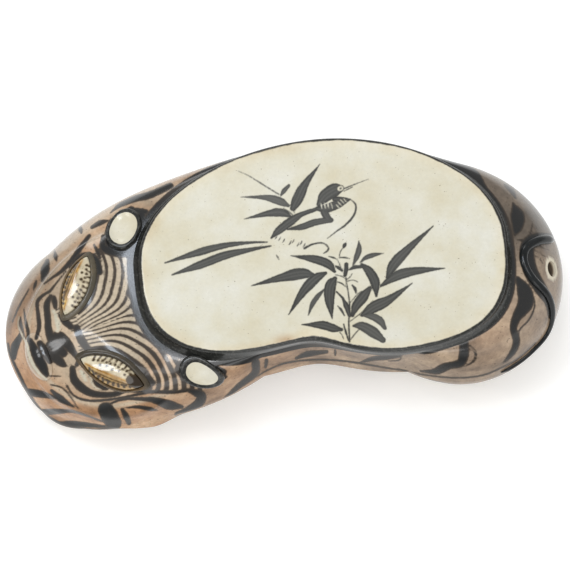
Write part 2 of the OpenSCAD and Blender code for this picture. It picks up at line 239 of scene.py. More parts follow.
def planSpot(x, y):
    th = np.degrees(np.arctan2(y - rest["midY"], x - rest["midX"]))
    rr, zr, rb, _, zb, n = column(th)
    a0 = np.arcsin(np.clip((body["seam"] - zb) / (zr - zb), 0, 1) ** (n / 2))
    k = np.clip((np.hypot(x - rest["midX"], y - rest["midY"]) - rr) / (rb - rr), 0, 1)
    return np.array([th, 1 + (np.arccos(k ** (n / 2)) - a0) / (math.pi / 2 - a0)])


# frame on the wall at a spot: spot, point, two tangents, steps per degree and per t
def seat(s, spin):
    p = plain(*s)
    eth = plain(s[0] + 0.5, s[1]) - plain(s[0] - 0.5, s[1])
    et = (plain(s[0], s[1] + 0.01) - plain(s[0], s[1] - 0.01)) / 0.02
    n = unit(np.cross(eth, et))
    d = np.array([cosd(spin), sind(spin), 0])
    x = unit(d - n * (d @ n))
    return s, p, x, np.cross(n, x), eth, et


# wall points straight under places on the tangent plane, lifted by h
def setDown(f, q, h):
    s, p, fx, fy, eth, et = f
    q = np.atleast_2d(np.asarray(q, float))
    aa, ab, bb = eth @ eth, eth @ et, et @ et

    def solve(r):
        u, v, k = r @ eth, r @ et, aa * bb - ab * ab
        return np.stack([(bb * u - ab * v) / k, (aa * v - ab * u) / k], -1)

    w = q[:, :1] * fx + q[:, 1:] * fy
    s1 = s + solve(w)
    d1 = plain(s1[:, 0], np.minimum(1.99, s1[:, 1])) - p
    s2 = s1 + solve(w - np.outer(d1 @ fx, fx) - np.outer(d1 @ fy, fy))
    return lifted(s2[:, 0], np.minimum(1.99, s2[:, 1]), h)


# faces between rows of points; poles close the two ends
def ringFaces(m, n, closed):
    j, i = np.meshgrid(np.arange(m if closed else m - 1), np.arange(n), indexing="ij")
    a, b = j * n + i, j * n + (i + 1) % n
    c, d = ((j + 1) % m) * n + i, ((j + 1) % m) * n + (i + 1) % n
    return np.stack([a, b, d, c], -1).reshape(-1, 4).tolist()


def poleFaces(m, n):
    low = [(m * n, (i + 1) % n, i) for i in range(n)]
    high = [(m * n + 1, (m - 1) * n + i, (m - 1) * n + (i + 1) % n) for i in range(n)]
    return low + high


def makePiece(name, points, faces):
    data = bpy.data.meshes.new(name)
    data.from_pydata(np.clip((points + toMiddle) * 0.001, *cadBox).tolist(), [], faces)
    data.validate()
    data.polygons.foreach_set("use_smooth", [True] * len(data.polygons))
    data.set_sharp_from_angle(angle=sharpAngle)
    obj = bpy.data.objects.new(name, data)
    scene.collection.objects.link(obj)
    return obj


def placesOf(obj):
    data = obj.data
    flat = np.empty(len(data.vertices) * 3)
    data.vertices.foreach_get("co", flat)
    normals = np.empty(len(data.vertices) * 3)
    data.vertex_normals.foreach_get("vector", normals)
    return flat.reshape(-1, 3) * 1000 - toMiddle, normals.reshape(-1, 3)


# painted fields, one value for every point or one for all
def setFields(obj, **fields):
    for name, values in fields.items():
        layer = obj.data.attributes.new(name, "FLOAT", "POINT")
        spread = np.broadcast_to(values, len(obj.data.vertices))
        layer.data.foreach_set("value", np.ascontiguousarray(spread, dtype=np.float32))


# drawing sheet: the decoration is laid out as seen steeply from the front
sheet = {"tall": 72, "away": 1400, "scale": 2100, "wide": 570, "across": 286, "down": 312.5}
# sheet units in a millimetre and in a degree of turn, and the field where no ink is near
perMm, perDegree, noInk = 1.6, 2.2, 9.0
toEye = np.array([0, -cosd(sheet["tall"]), sind(sheet["tall"])])
sheetUp = np.array([0, sind(sheet["tall"]), cosd(sheet["tall"])])


def sheetPlace(p):
    depth = sheet["away"] - p @ toEye
    return np.stack([sheet["across"] + sheet["scale"] * p[:, 0] / depth,
                     sheet["down"] - sheet["scale"] * (p @ sheetUp) / depth], -1)


# brush field: distance to the nearest stroke edge, negative inside the ink, and how thin that ink is
# a stroke is a list of places, its width at start, middle and end, and where it matters its thinness
def inkField(places, strokes, bristle=0.0):
    field, thin = np.full(len(places), noInk), np.zeros(len(places))
    for knots, widths, *tone in strokes:
        s = np.linspace(0, 1, 6 * len(knots))
        line = along(knots, s)
        half = np.interp(s, np.linspace(0, 1, len(widths)), widths) / 2
        half = np.convolve(np.pad(half, 2, "edge"), [0.1, 0.2, 0.4, 0.2, 0.1], "valid")
        reach = half.max() + 5
        near = np.nonzero(((places > line.min(0) - reach) & (places < line.max(0) + reach)).all(1))[0]
        if len(near) == 0:
            continue
        q = places[near]
        best, across = np.full(len(q), noInk), np.zeros(len(q))
        for k in range(len(line) - 1):
            d, w = line[k + 1] - line[k], q - line[k]
            f = np.clip((w @ d) / max(d @ d, 1e-9), 0, 1)
            gap = np.hypot(*(w - f[:, None] * d).T) - mixed(half[k], half[k + 1], f)
            across = np.where(gap < best, (d[0] * w[:, 1] - d[1] * w[:, 0]) / max(math.hypot(*d), 1e-9), across)
            best = np.minimum(best, gap)
        # hairs of the brush leave streaks along the stroke
        hairs = bristle * np.sin(2 * across + 7 * knots[0][0]) * ease(0, -2, best)
        nearer = best < field[near]
        thin[near] = np.where(nearer, (tone[0] if tone else 0.1) + hairs, thin[near])
        field[near] = np.minimum(field[near], best)
    return field, thin


def linear(hexColour):
    rgb = [int(hexColour[i:i + 2], 16) / 255 for i in (0, 2, 4)]
    return [v / 12.92 if v <= 0.04045 else ((v + 0.055) / 1.055) ** 2.4 for v in rgb] + [1.0]


# adds one node with its settings, inputs and ramp stops; an input is a value or the socket that feeds it
def add(tree, kind, settings=None, inputs=None, stops=()):
    node = tree.nodes.new(kind)
    for key, value in (settings or {}).items():
        setattr(node, key, value)
    for key, given in (inputs or {}).items():
        if isinstance(given, bpy.types.NodeSocket):
            tree.links.new(given, node.inputs[key])
        else:
            node.inputs[key].default_value = given
    if stops:
        elements = node.color_ramp.elements
        while len(elements) < len(stops):
            elements.new(0.5)
        for element, (place, colour) in zip(elements, stops):
            element.position, element.color = place, linear(colour)
    return node


def newMaterial(name):
    made = bpy.data.materials.new(name)
    made.use_nodes = True
    made.node_tree.nodes.clear()
    return made, made.node_tree


bumpDepth = 0.0004   # metres


# clear-glazed stoneware: a body colour, slip painted by the ink field, glossy skin with faint orange peel
# real iron specks are finer, and are drawn as coarse as they need to show
def glazedStoneware(name, look):
    made, tree = newMaterial(name)
    coord = add(tree, "ShaderNodeTexCoord").outputs["Object"]
    ink, warm, bare, thin, pale, smoke = (
        add(tree, "ShaderNodeAttribute", {"attribute_name": field}).outputs["Fac"]
        for field in ("ink", "warm", "bare", "thin", "pale", "smoke"))
    cloud, fine, speck = (
        add(tree, "ShaderNodeTexNoise", None, {"Vector": coord, "Scale": 1000 / look[size], "Detail": detail,
                                               "Roughness": coarse}).outputs["Fac"]
        for size, detail, coarse in (("cloudMm", 5.0, 0.6), ("grainMm", 4.0, 0.65), ("speckMm", 1.0, 0.5)))
    cool, hot = (add(tree, "ShaderNodeValToRGB", None, {"Fac": cloud}, look[tones]).outputs["Color"]
                 for tones in ("cool", "hot"))
    specks, mottle, streak, rough = (
        add(tree, "ShaderNodeMapRange", None, {"Value": source, "From Min": low, "From Max": high,
                                               "To Min": least, "To Max": most}).outputs["Result"]
        for source, low, high, least, most in (
            (speck, look["speckAt"], look["speckAt"] + 0.03, 0, look["speckDepth"]),
            (fine, 0.3, 0.7, 1 - look["mottle"], 1 + look["mottle"]),
            (fine, 0.5, 0.68, 0, look["streak"]),
            (cloud, 0.3, 0.7, look["rough"] - 0.05, look["rough"] + 0.07)))
    # clay, its cream places (some of them painted highlights and sheen), its darker places and painted shade,
    # and iron specks, then the finer mottling of the glaze
    ground = cool
    for share, over in ((warm, hot), (pale, linear(look["cream"])), (smoke, linear(look["smoke"])),
                        (specks, linear(look["speck"]))):
        ground = add(tree, "ShaderNodeMix", {"data_type": "RGBA"},
                     {"Factor": share, 6: ground, 7: over}).outputs[2]
    ground = add(tree, "ShaderNodeVectorMath", {"operation": "SCALE"}, {0: ground, "Scale": mottle}).outputs[0]
    # slip: ragged edge, its own colour along the border, streaky inside
    ragged = add(tree, "ShaderNodeMath", {"operation": "MULTIPLY_ADD"},
                 {0: fine, 1: look["ragged"], 2: -0.5 * look["ragged"]}).outputs[0]
    edge = add(tree, "ShaderNodeMath", {"operation": "ADD"}, {0: ink, 1: ragged}).outputs[0]
    cover = add(tree, "ShaderNodeMapRange", {"interpolation_type": "SMOOTHSTEP"},
                {"Value": edge, "From Min": 0.75, "From Max": -0.75}).outputs["Result"]
    depth = add(tree, "ShaderNodeMapRange", None,
                {"Value": edge, "From Min": 0.2, "From Max": -2.2}).outputs["Result"]
    streak = add(tree, "ShaderNodeMath", {"operation": "MAXIMUM"}, {0: streak, 1: thin}).outputs[0]
    slip = linear(look["edge"])
    for share, over in ((depth, linear(look["slip"])), (streak, linear(look["thinSlip"]))):
        slip = add(tree, "ShaderNodeMix", {"data_type": "RGBA"},
                   {"Factor": share, 6: slip, 7: over}).outputs[2]
    colour = ground
    for share, over in ((cover, slip), (bare, linear(look["bare"]))):
        colour = add(tree, "ShaderNodeMix", {"data_type": "RGBA"},
                     {"Factor": share, 6: colour, 7: over}).outputs[2]
    rough = add(tree, "ShaderNodeMath", {"operation": "MULTIPLY_ADD"}, {0: bare, 1: 0.5, 2: rough}).outputs[0]
    bump = add(tree, "ShaderNodeBump", None, {"Strength": look["bump"], "Distance": bumpDepth, "Height": fine})
    # where a gain is given, the glaze lies thicker and shinier on faces that lay upwards in the kiln
    shine, coat = look["shine"], look["coat"]
    if "gain" in look:
        gloss = add(tree, "ShaderNodeAttribute", {"attribute_name": "gloss"}).outputs["Fac"]
        shine, coat = (add(tree, "ShaderNodeMath", {"operation": "MULTIPLY_ADD"},
                           {0: gloss, 1: gain, 2: least}).outputs[0]
                       for gain, least in zip(look["gain"], (shine, coat)))
    shader = add(tree, "ShaderNodeBsdfPrincipled", None, {
        "IOR": 1.5, "Coat IOR": 1.42, "Coat Roughness": 0.06, "Base Color": colour, "Roughness": rough,
        "Normal": bump.outputs["Normal"], "Specular IOR Level": shine, "Coat Weight": coat})
    add(tree, "ShaderNodeOutputMaterial", None, {"Surface": shader.outputs["BSDF"]})
    return made


# russet clay under clear glaze: tan to orange, clouded, black slip stripes that go brown where thin
bodyGlaze = glazedStoneware("russet_stoneware_clear_glaze", {
    "cool": [(0.3, "6E6154"), (0.5, "9D8975"), (0.68, "BEA78D")],
    "hot": [(0.3, "84603F"), (0.5, "B98E69"), (0.7, "D6B492")],
    "cloudMm": 26, "grainMm": 2.4, "speckMm": 1.6, "speckAt": 0.69, "speckDepth": 0.55, "speck": "3A2C20",
    "mottle": 0.14, "ragged": 1.1, "slip": "15191B", "thinSlip": "463A2E", "edge": "463A2E", "streak": 0.25,
    "smoke": "4A443C", "bare": "E3D9C2", "cream": "C2BBA6",
    "rough": 0.22, "bump": 0.12, "coat": 0.07, "shine": 0.03, "gain": (0.4, 0.45)})
# white slip under clear glaze: creamy, softly clouded, fine specks, dark grey brushwork
whiteLook = {
    "cool": [(0.32, "D0C8AE"), (0.5, "D5D0BC"), (0.66, "D9D6C8")],
    "hot": [(0.3, "C8B48F"), (0.5, "D8CBAB"), (0.7, "E0D8C2")],
    "cloudMm": 34, "grainMm": 1.9, "speckMm": 1.3, "speckAt": 0.745, "speckDepth": 0.6, "speck": "6A5B42",
    "mottle": 0.035, "ragged": 1.1, "slip": "232422", "thinSlip": "6A6963", "edge": "272622",
    "streak": 0.45, "smoke": "B08A62", "bare": "D9CBAE", "cream": "C9BFA2",
    "rough": 0.22, "bump": 0.05, "coat": 0.25, "shine": 0.3}
whiteGlaze = glazedStoneware("white_slip_clear_glaze", whiteLook)
# the same slip on the eyes, where the glaze pools amber along the ridge
eyeGlaze = glazedStoneware("white_slip_amber_glaze", {
    **whiteLook, "cool": [(0.3, "BDB497"), (0.5, "D2CAB1"), (0.68, "DDD8C5")],
    "hot": [(0.3, "7A531A"), (0.5, "A97A2B"), (0.68, "D6B25C")], "cloudMm": 7, "mottle": 0.1,
    "slip": "15120F", "thinSlip": "4A3618", "edge": "4A3618", "rough": 0.12, "coat": 0.6})
# black slip under glaze: blue-black and glossy, brown where it ran thin
blackGlaze = glazedStoneware("black_slip_clear_glaze", {
    "cool": [(0.3, "141617"), (0.55, "1E2122"), (0.75, "2E2A25")],
    "hot": [(0.3, "33261A"), (0.5, "5E4526"), (0.7, "8C6B3A")],
    "cloudMm": 14, "grainMm": 2.2, "speckMm": 1.6, "speckAt": 0.74, "speckDepth": 0.4, "speck": "5A4630",
    "mottle": 0.15, "ragged": 1.0, "slip": "141617", "thinSlip": "3A2E22", "edge": "3A2E22", "streak": 0.2,
    "smoke": "1C1B1A", "bare": "D9CBAE", "cream": "C9BFA2",
    "rough": 0.18, "bump": 0.12, "coat": 0.3, "shine": 0.2})


# fired clay with no glaze: buff and dry, its grit drawn coarse enough to show as dark and pale grains
def bareStoneware(name, look):
    made, tree = newMaterial(name)
    coord = add(tree, "ShaderNodeTexCoord").outputs["Object"]
    grit, scorch = (
        add(tree, "ShaderNodeTexNoise", None, {"Vector": coord, "Scale": 1000 / look[size], "Detail": detail,
                                               "Roughness": coarse}).outputs["Fac"]
        for size, detail, coarse in (("gritMm", 4.0, 0.7), ("scorchMm", 3.0, 0.5)))
    buff, burn = (add(tree, "ShaderNodeValToRGB", None, {"Fac": source}, look[tones]).outputs["Color"]
                  for source, tones in ((grit, "buff"), (scorch, "burn")))
    colour = add(tree, "ShaderNodeMix", {"data_type": "RGBA", "blend_type": "MULTIPLY"},
                 {"Factor": look["burnt"], 6: buff, 7: burn}).outputs[2]
    bump = add(tree, "ShaderNodeBump", None, {"Strength": look["bump"], "Distance": bumpDepth, "Height": grit})
    shader = add(tree, "ShaderNodeBsdfPrincipled", None, {
        "Roughness": look["rough"], "IOR": 1.45, "Base Color": colour, "Normal": bump.outputs["Normal"]})
    add(tree, "ShaderNodeOutputMaterial", None, {"Surface": shader.outputs["BSDF"]})
    return made


bareClay = bareStoneware("bare_buff_stoneware", {
    "buff": [(0.32, "8F8064"), (0.5, "B7A88A"), (0.68, "CDBFA2")], "burn": [(0.35, "A58B6A"), (0.6, "FFFFFF")],
    "gritMm": 1.111, "scorchMm": 35.714, "burnt": 0.35, "bump": 0.5, "rough": 0.82})
print("materials ready")

# body shells
turns = np.linspace(-180, 180, body["columns"], endpoint=False)
turns = face["turn"] - 5 + turns - np.degrees(body["crowd"] * sind(turns))
footT = body["base"] / body["seam"]


def planeLoop(inset, drop):
    return onPlane(turns, restRadius(turns, rest["roll"]) - inset, -drop)


def shellPiece(name, outer, inner):
    rows = [lifted(turns, t) for t in outer] + inner
    return makePiece(name, np.concatenate(rows), ringFaces(len(rows), len(turns), True))


lowerBody = shellPiece("lowerBody", np.linspace(footT, 1, body["lowerRows"]),
                       [inside(turns, mixed(footT, 1, k), body["wall"]) for k in (1, 0.5, 0)])
upperBody = shellPiece("upperBody", np.linspace(1, 2, body["upperRows"]),
                       [planeLoop(body["ledge"], 0), planeLoop(body["ledge"], body["wall"])]
                       + [inside(turns, t, body["wall"]) for t in (1.86, 1.7, 1.5, 1.25, 1)])

# vent bored through the rump
vent = {"turn": 358, "rise": 1.48, "bore": 10, "rim": 7.4, "around": 20, "points": 48}
ventAt = lifted(vent["turn"], vent["rise"])
ventOut = outward(vent["turn"], vent["rise"])


def boreVent(obj):
    side = unit(np.cross(ventOut, [0, 0, 1]))
    up = np.cross(ventOut, side)
    ring = np.linspace(0, 2 * math.pi, vent["points"], endpoint=False)
    loop = (np.outer(np.cos(ring), side) + np.outer(np.sin(ring), up)) * vent["bore"] / 2
    depths = (-24, -7, -5.5, -4, -3, -2.2, -1.4, -0.7, 24)
    points = np.concatenate([ventAt + d * ventOut + loop for d in depths]
                            + [[ventAt + depths[0] * ventOut, ventAt + depths[-1] * ventOut]])
    faces = ringFaces(len(depths), vent["points"], False) + poleFaces(len(depths), vent["points"])
    tool = makePiece("ventTool", points, faces)
    cut = obj.modifiers.new("vent", "BOOLEAN")
    cut.operation, cut.solver, cut.object = "DIFFERENCE", "EXACT", tool
    result = bpy.data.meshes.new_from_object(obj.evaluated_get(bpy.context.evaluated_depsgraph_get()))
    obj.modifiers.remove(cut)
    obj.data = result
    result.set_sharp_from_angle(angle=sharpAngle)
    bpy.data.objects.remove(tool)


boreVent(upperBody)

baseRows = [lifted(turns, t) for t in (body["chamfer"] / body["seam"], 0.5 * footT, footT)]
wipedFoot = lifted(turns, 0) - unit(outward(turns, 0.02) * [1, 1, 0]) * body["chamfer"]
wipedFoot[:, 2] = 0
middle = np.array([rest["midX"], rest["midY"], 0])
under = [middle + (wipedFoot - middle) * k for k in (0.3, 0.65, 0.92, 1)]
slabTop = np.array([0, 0, body["base"]])
over = [slabTop + (baseRows[-1] - slabTop - middle) * k + middle for k in (0.85, 0.4)]
baseRows = under + baseRows + over
baseSlab = makePiece("baseSlab", np.concatenate(baseRows + [[middle, middle + slabTop]]),
                     ringFaces(len(baseRows), len(turns), False) + poleFaces(len(baseRows), len(turns)))
print("shells made:", len(upperBody.data.vertices), "points in the upper shell")

# headrest slab: an even grid on top, so that the brushwork keeps its edges
topGrid = {"across": 320, "deep": 236, "halfLong": 112, "halfDeep": 69}


def slabPiece():
    gu, gv = np.meshgrid(np.linspace(-1, 1, topGrid["across"] + 1), np.linspace(-1, 1, topGrid["deep"] + 1))
    dx, dy = gu * np.sqrt(1 - gv * gv / 2), gv * np.sqrt(1 - gu * gu / 2)
    f = np.hypot(dx, dy)
    th = np.degrees(np.arctan2(dy * topGrid["halfDeep"], dx * topGrid["halfLong"])) + rest["turn"]
    top = onPlane(th, f * restRadius(th), rest["slab"] - rest["dish"] * (1 - f * f))
    start = top.shape[0] * top.shape[1]
    index = np.arange(start).reshape(top.shape[:2])
    quads = np.stack([index[:-1, :-1], index[:-1, 1:], index[1:, 1:], index[1:, :-1]], -1)
    quads = quads.reshape(-1, 4).tolist()
    loop = np.concatenate([index[0, :-1], index[:-1, -1], index[-1, :0:-1], index[:0:-1, 0]])
    ringTurns = th.reshape(-1)[loop]
    rr, _, rb = column(ringTurns)[:3]
    skirt = np.clip(rest["skirtShare"] * (rb - rr), rest["skirtLeast"], rest["skirtMost"])
    edge, roll, slab = restRadius(ringTurns), rest["roll"], rest["slab"]
    # rolled edge, cove down to the body, underside
    rows = [onPlane(ringTurns, edge + out * roll, up * slab)
            for out, up in ((0.3, 0.97), (0.7, 0.88), (0.92, 0.74), (1, 0.55))]
    rows += [onPlane(ringTurns, restRadius(ringTurns, roll) + share * skirt, up * slab)
             for share, up in ((0.08, 0.42), (0.3, 0.25), (0.62, 0.1), (1, 0))]
    sag = rest["dish"] * (1 - (rest["underMid"] / rest["underRim"]) ** 2)
    rows += [onPlane(ringTurns, rest["underRim"] * edge, 0), onPlane(ringTurns, rest["underMid"] * edge, -sag)]
    points = np.concatenate([top.reshape(-1, 3)] + rows + [[onPlane(0, 0, -rest["dish"])]])
    rings = [loop] + [start + k * len(loop) + np.arange(len(loop)) for k in range(len(rows))]
    for high, low in zip(rings[:-1], rings[1:]):
        quads += np.stack([low, np.roll(low, -1), np.roll(high, -1), high], -1).tolist()
    last, pole = rings[-1], len(points) - 1
    quads += [(pole, int(b), int(a)) for a, b in zip(last, np.roll(last, -1))]
    return makePiece("headrestSlab", points, quads)


headrestSlab = slabPiece()
print("headrest made:", len(headrestSlab.data.polygons), "faces")

# applied pieces: eyes, lids, ears, nose
eyes = {"ahead": 45.5, "apart": 57, "slant": 47, "length": 38, "width": 14.5, "rise": 4.5, "lid": 3.6,
        "lidRise": 1.8, "ridgeOff": 1.5, "brush": 1.5, "points": 112}
ears = {"length": 27, "width": 20.5, "rise": 3.6, "off": 13.5, "left": 220.8, "right": 175,
        "leftShare": 0.78, "points": 96}
nose = {"ahead": 80.5, "length": 15, "width": 28, "rise": 3.4, "points": 160}
luting = 0.2


# almond grown by g all round, and a squarish oval
def lens(w, l, g, p):
    f = np.linspace(0, 2 * math.pi, eyes["points"], endpoint=False)
    return np.stack([(l / 2 + g) * np.cos(f), (w / 2 + g) * np.sin(f) * np.abs(np.sin(f)) ** p], -1)


def oval(l, w, p, n):
    f = np.linspace(0, 2 * math.pi, n, endpoint=False)
    return np.stack([l / 2 * np.sign(np.cos(f)) * np.abs(np.cos(f)) ** p,
                     w / 2 * np.sign(np.sin(f)) * np.abs(np.sin(f)) ** p], -1)


# closed dome on the wall from shares of an outline and heights; the first row lies on the wall
def domePiece(name, f, outline, steps):
    rows = [setDown(f, k * outline, luting + h) for k, h in steps]
    poles = np.concatenate([setDown(f, [0, 0], luting), setDown(f, [0, 0], luting + steps[-1][1])])
    m, n = len(rows), len(outline)
    return makePiece(name, np.concatenate(rows + [poles]), ringFaces(m, n, False) + poleFaces(m, n))


def eyeSeat(side):
    return seat(planSpot(*facePlan(eyes["ahead"], side * eyes["apart"] / 2)),
                face["turn"] + side * (180 - eyes["slant"]))


# eyeball: an almond drawn up to a long ridge that lies nearer the cheek
def eyeball(name, side):
    f, outline = eyeSeat(side), lens(eyes["width"], eyes["length"], 0, 0.55)
    rows = [setDown(f, 0.5 * outline, luting), setDown(f, outline, luting)]
    for k in np.linspace(1, 0.03, 20):
        slim = outline * [k ** 0.3, k] - [0, side * (1 - k) * eyes["ridgeOff"]]
        rows.append(setDown(f, slim, luting + eyes["rise"] * (0.2 + 0.8 * (1 - k) ** 0.66)))
    top = [0, -side * eyes["ridgeOff"]]
    poles = np.concatenate([setDown(f, [0, 0], luting), setDown(f, top, luting + eyes["rise"])])
    return makePiece(name, np.concatenate(rows + [poles]),
                     ringFaces(len(rows), len(outline), False) + poleFaces(len(rows), len(outline)))


def eyelid(name, side):
    f, lid, up = eyeSeat(side), eyes["lid"], eyes["lidRise"]
    profile = [(0.3, 0), (0.45 * lid, 0), (lid, 0), (lid, 0.12 * up), (0.88 * lid, 0.36 * up),
               (0.68 * lid, 0.64 * up), (0.45 * lid, 0.86 * up), (0.24 * lid, 0.92 * up), (0.3, 0.7 * up)]
    inner, rows = lens(eyes["width"], eyes["length"], 0.3, 0.5), []
    for g, h in profile:
        ring = lens(eyes["width"], eyes["length"], g, 0.5 - 0.15 * min(1, g / lid))
        # the cheek side of the lid is rolled thinner
        slim = mixed(1, 0.55, ease(0.1, 0.8, -side * ring[:, 1] / (eyes["width"] / 2)))[:, None]
        rows.append(setDown(f, inner + (ring - inner) * slim, luting + h))
    return makePiece(name, np.concatenate(rows), ringFaces(len(rows), len(rows[0]), True))


def rimOut(th):
    hi, lo = (np.array(atTurn(th + k, restRadius(th + k, rest["roll"]))) for k in (1, -1))
    return unit(np.array([hi[1] - lo[1], lo[0] - hi[0]]))


def earSeat(turn, share):
    n = rimOut(np.array(float(turn)))
    x, y = np.array(atTurn(turn, restRadius(np.array(float(turn)), rest["roll"]))) + n * ears["off"] * share
    return seat(planSpot(x, y), math.degrees(math.atan2(n[1], n[0])))


# shares of the outline and of the rise, from the wall over the rim into the cup
earSteps = [(0.55, 0), (1, 0), (1, 0.5), (0.985, 0.75), (0.95, 0.93), (0.9, 1), (0.85, 0.98), (0.8, 0.92),
            (0.74, 0.8), (0.66, 0.64), (0.55, 0.5), (0.4, 0.42), (0.25, 0.38), (0.1, 0.36)]


def earPiece(name, turn, share):
    outline = oval(ears["width"] * share, ears["length"], 0.9, ears["points"])
    return domePiece(name, earSeat(turn, share), outline, [(k, h * ears["rise"]) for k, h in earSteps])


leftEyeball, rightEyeball = eyeball("leftEyeball", 1), eyeball("rightEyeball", -1)
leftEyelid, rightEyelid = eyelid("leftEyelid", 1), eyelid("rightEyelid", -1)
leftEar = earPiece("leftEar", ears["left"], ears["leftShare"])
rightEar = earPiece("rightEar", ears["right"], 1)
noseSteps = [(0.5, 0), (1, 0), (1, 0.1)]
noseSteps += [(k, 0.1 + 0.9 * (1 - k ** 2.2) ** 0.8) for k in np.linspace(0.97, 0.03, 36)]
nosePad = domePiece("nosePad", seat(planSpot(*facePlan(nose["ahead"], 0)), face["turn"]),
                    oval(nose["length"], nose["width"], 0.85, nose["points"]),
                    [(k, nose["rise"] * h) for k, h in noseSteps])
print("applied pieces made")

# tail: a coil laid along its path by geometry nodes
tail = {"width": 6.5, "rise": 3.2, "points": 150, "sides": 22, "flat": 0.00012,
        "path": [[6.5, 1.38], [4.5, 1.66], [1.5, 1.82], [-3, 1.84], [-7, 1.73], [-9.5, 1.48],
                 [-12.5, 1.26], [-16, 1.13], [-21, 1.12], [-26, 1.09], [-30, 1.06]]}


def coilTree():
    tree = bpy.data.node_groups.new("coilAlongPath", "GeometryNodeTree")
    sockets = tree.interface
    sockets.new_socket("Geometry", in_out="INPUT", socket_type="NodeSocketGeometry")
    for name in ("Half width", "Rise"):
        sockets.new_socket(name, in_out="INPUT", socket_type="NodeSocketFloat")
    sockets.new_socket("Glaze", in_out="INPUT", socket_type="NodeSocketMaterial")
    sockets.new_socket("Geometry", in_out="OUTPUT", socket_type="NodeSocketGeometry")
    given = add(tree, "NodeGroupInput").outputs
    lying = add(tree, "GeometryNodeInputNamedAttribute", {"data_type": "FLOAT_VECTOR"}, {"Name": "lying"})
    thick = add(tree, "GeometryNodeInputNamedAttribute", {"data_type": "FLOAT"}, {"Name": "thick"})
    curve = add(tree, "GeometryNodeMeshToCurve", None, {"Mesh": given["Geometry"]})
    turned = add(tree, "GeometryNodeSetCurveNormal", {"mode": "FREE"},
                 {"Curve": curve.outputs["Curve"], "Normal": lying.outputs["Attribute"]})
    # a round profile, flattened where it lies on the wall
    circle = add(tree, "GeometryNodeCurvePrimitiveCircle", None, {"Resolution": tail["sides"], "Radius": 1.0})
    position = add(tree, "GeometryNodeInputPosition").outputs[0]
    place = add(tree, "ShaderNodeSeparateXYZ", None, {"Vector": position}).outputs
    high, flat, side = (
        add(tree, "ShaderNodeMath", {"operation": "MULTIPLY"}, {0: place[axis], 1: size}).outputs[0]
        for axis, size in (("X", given["Rise"]), ("X", tail["flat"]), ("Y", given["Half width"])))
    high = add(tree, "ShaderNodeMath", {"operation": "MAXIMUM"}, {0: high, 1: flat}).outputs[0]
    where = add(tree, "ShaderNodeCombineXYZ", None, {"X": high, "Y": side}).outputs["Vector"]
    profile = add(tree, "GeometryNodeSetPosition", None,
                  {"Geometry": circle.outputs["Curve"], "Position": where})
    rolled = add(tree, "GeometryNodeCurveToMesh", None,
                 {"Fill Caps": True, "Curve": turned.outputs["Curve"],
                  "Profile Curve": profile.outputs["Geometry"], "Scale": thick.outputs["Attribute"]})
    smooth = add(tree, "GeometryNodeSetShadeSmooth", None, {"Geometry": rolled.outputs["Mesh"]})
    real = add(tree, "GeometryNodeRealizeInstances", None, {"Geometry": smooth.outputs[0]})
    glazed = add(tree, "GeometryNodeSetMaterial", None,
                 {"Geometry": real.outputs["Geometry"], "Material": given["Glaze"]})
    add(tree, "NodeGroupOutput", None, {"Geometry": glazed.outputs["Geometry"]})
    return tree


# runs a tree on an object with its inputs, and keeps the plain mesh
def runTree(obj, tree, inputs):
    step = obj.modifiers.new("nodes", "NODES")
    step.node_group = tree
    names = {item.name: item.identifier for item in tree.interface.items_tree if item.in_out == "INPUT"}
    for name, value in inputs.items():
        step[names[name]] = value
    result = bpy.data.meshes.new_from_object(obj.evaluated_get(bpy.context.evaluated_depsgraph_get()))
    obj.modifiers.remove(step)
    obj.data = result


def tailPiece():
    u = np.linspace(0, 1, tail["points"])
    spots = along(tail["path"], u)
    line = lifted(spots[:, 0], spots[:, 1], luting)
    obj = makePiece("tailCoil", line, [])
    order = np.arange(len(line))
    obj.data.edges.add(len(line) - 1)
    obj.data.edges.foreach_set("vertices", np.stack([order[:-1], order[1:]], -1).ravel())
    up = obj.data.attributes.new("lying", "FLOAT_VECTOR", "POINT")
    up.data.foreach_set("vector", outward(spots[:, 0], spots[:, 1]).astype(np.float32).ravel())
    # rounded ends and a taper
    setFields(obj, thick=np.sqrt(np.clip(np.minimum(u, 1 - u) / 0.05 + 0.12, 0, 1)) * (1 - 0.5 * u))
    runTree(obj, coilTree(), {"Half width": tail["width"] / 2000, "Rise": tail["rise"] / 1000,
                              "Glaze": blackGlaze})
    return obj


tailCoil = tailPiece()
print("tail rolled:", len(tailCoil.data.polygons), "faces")

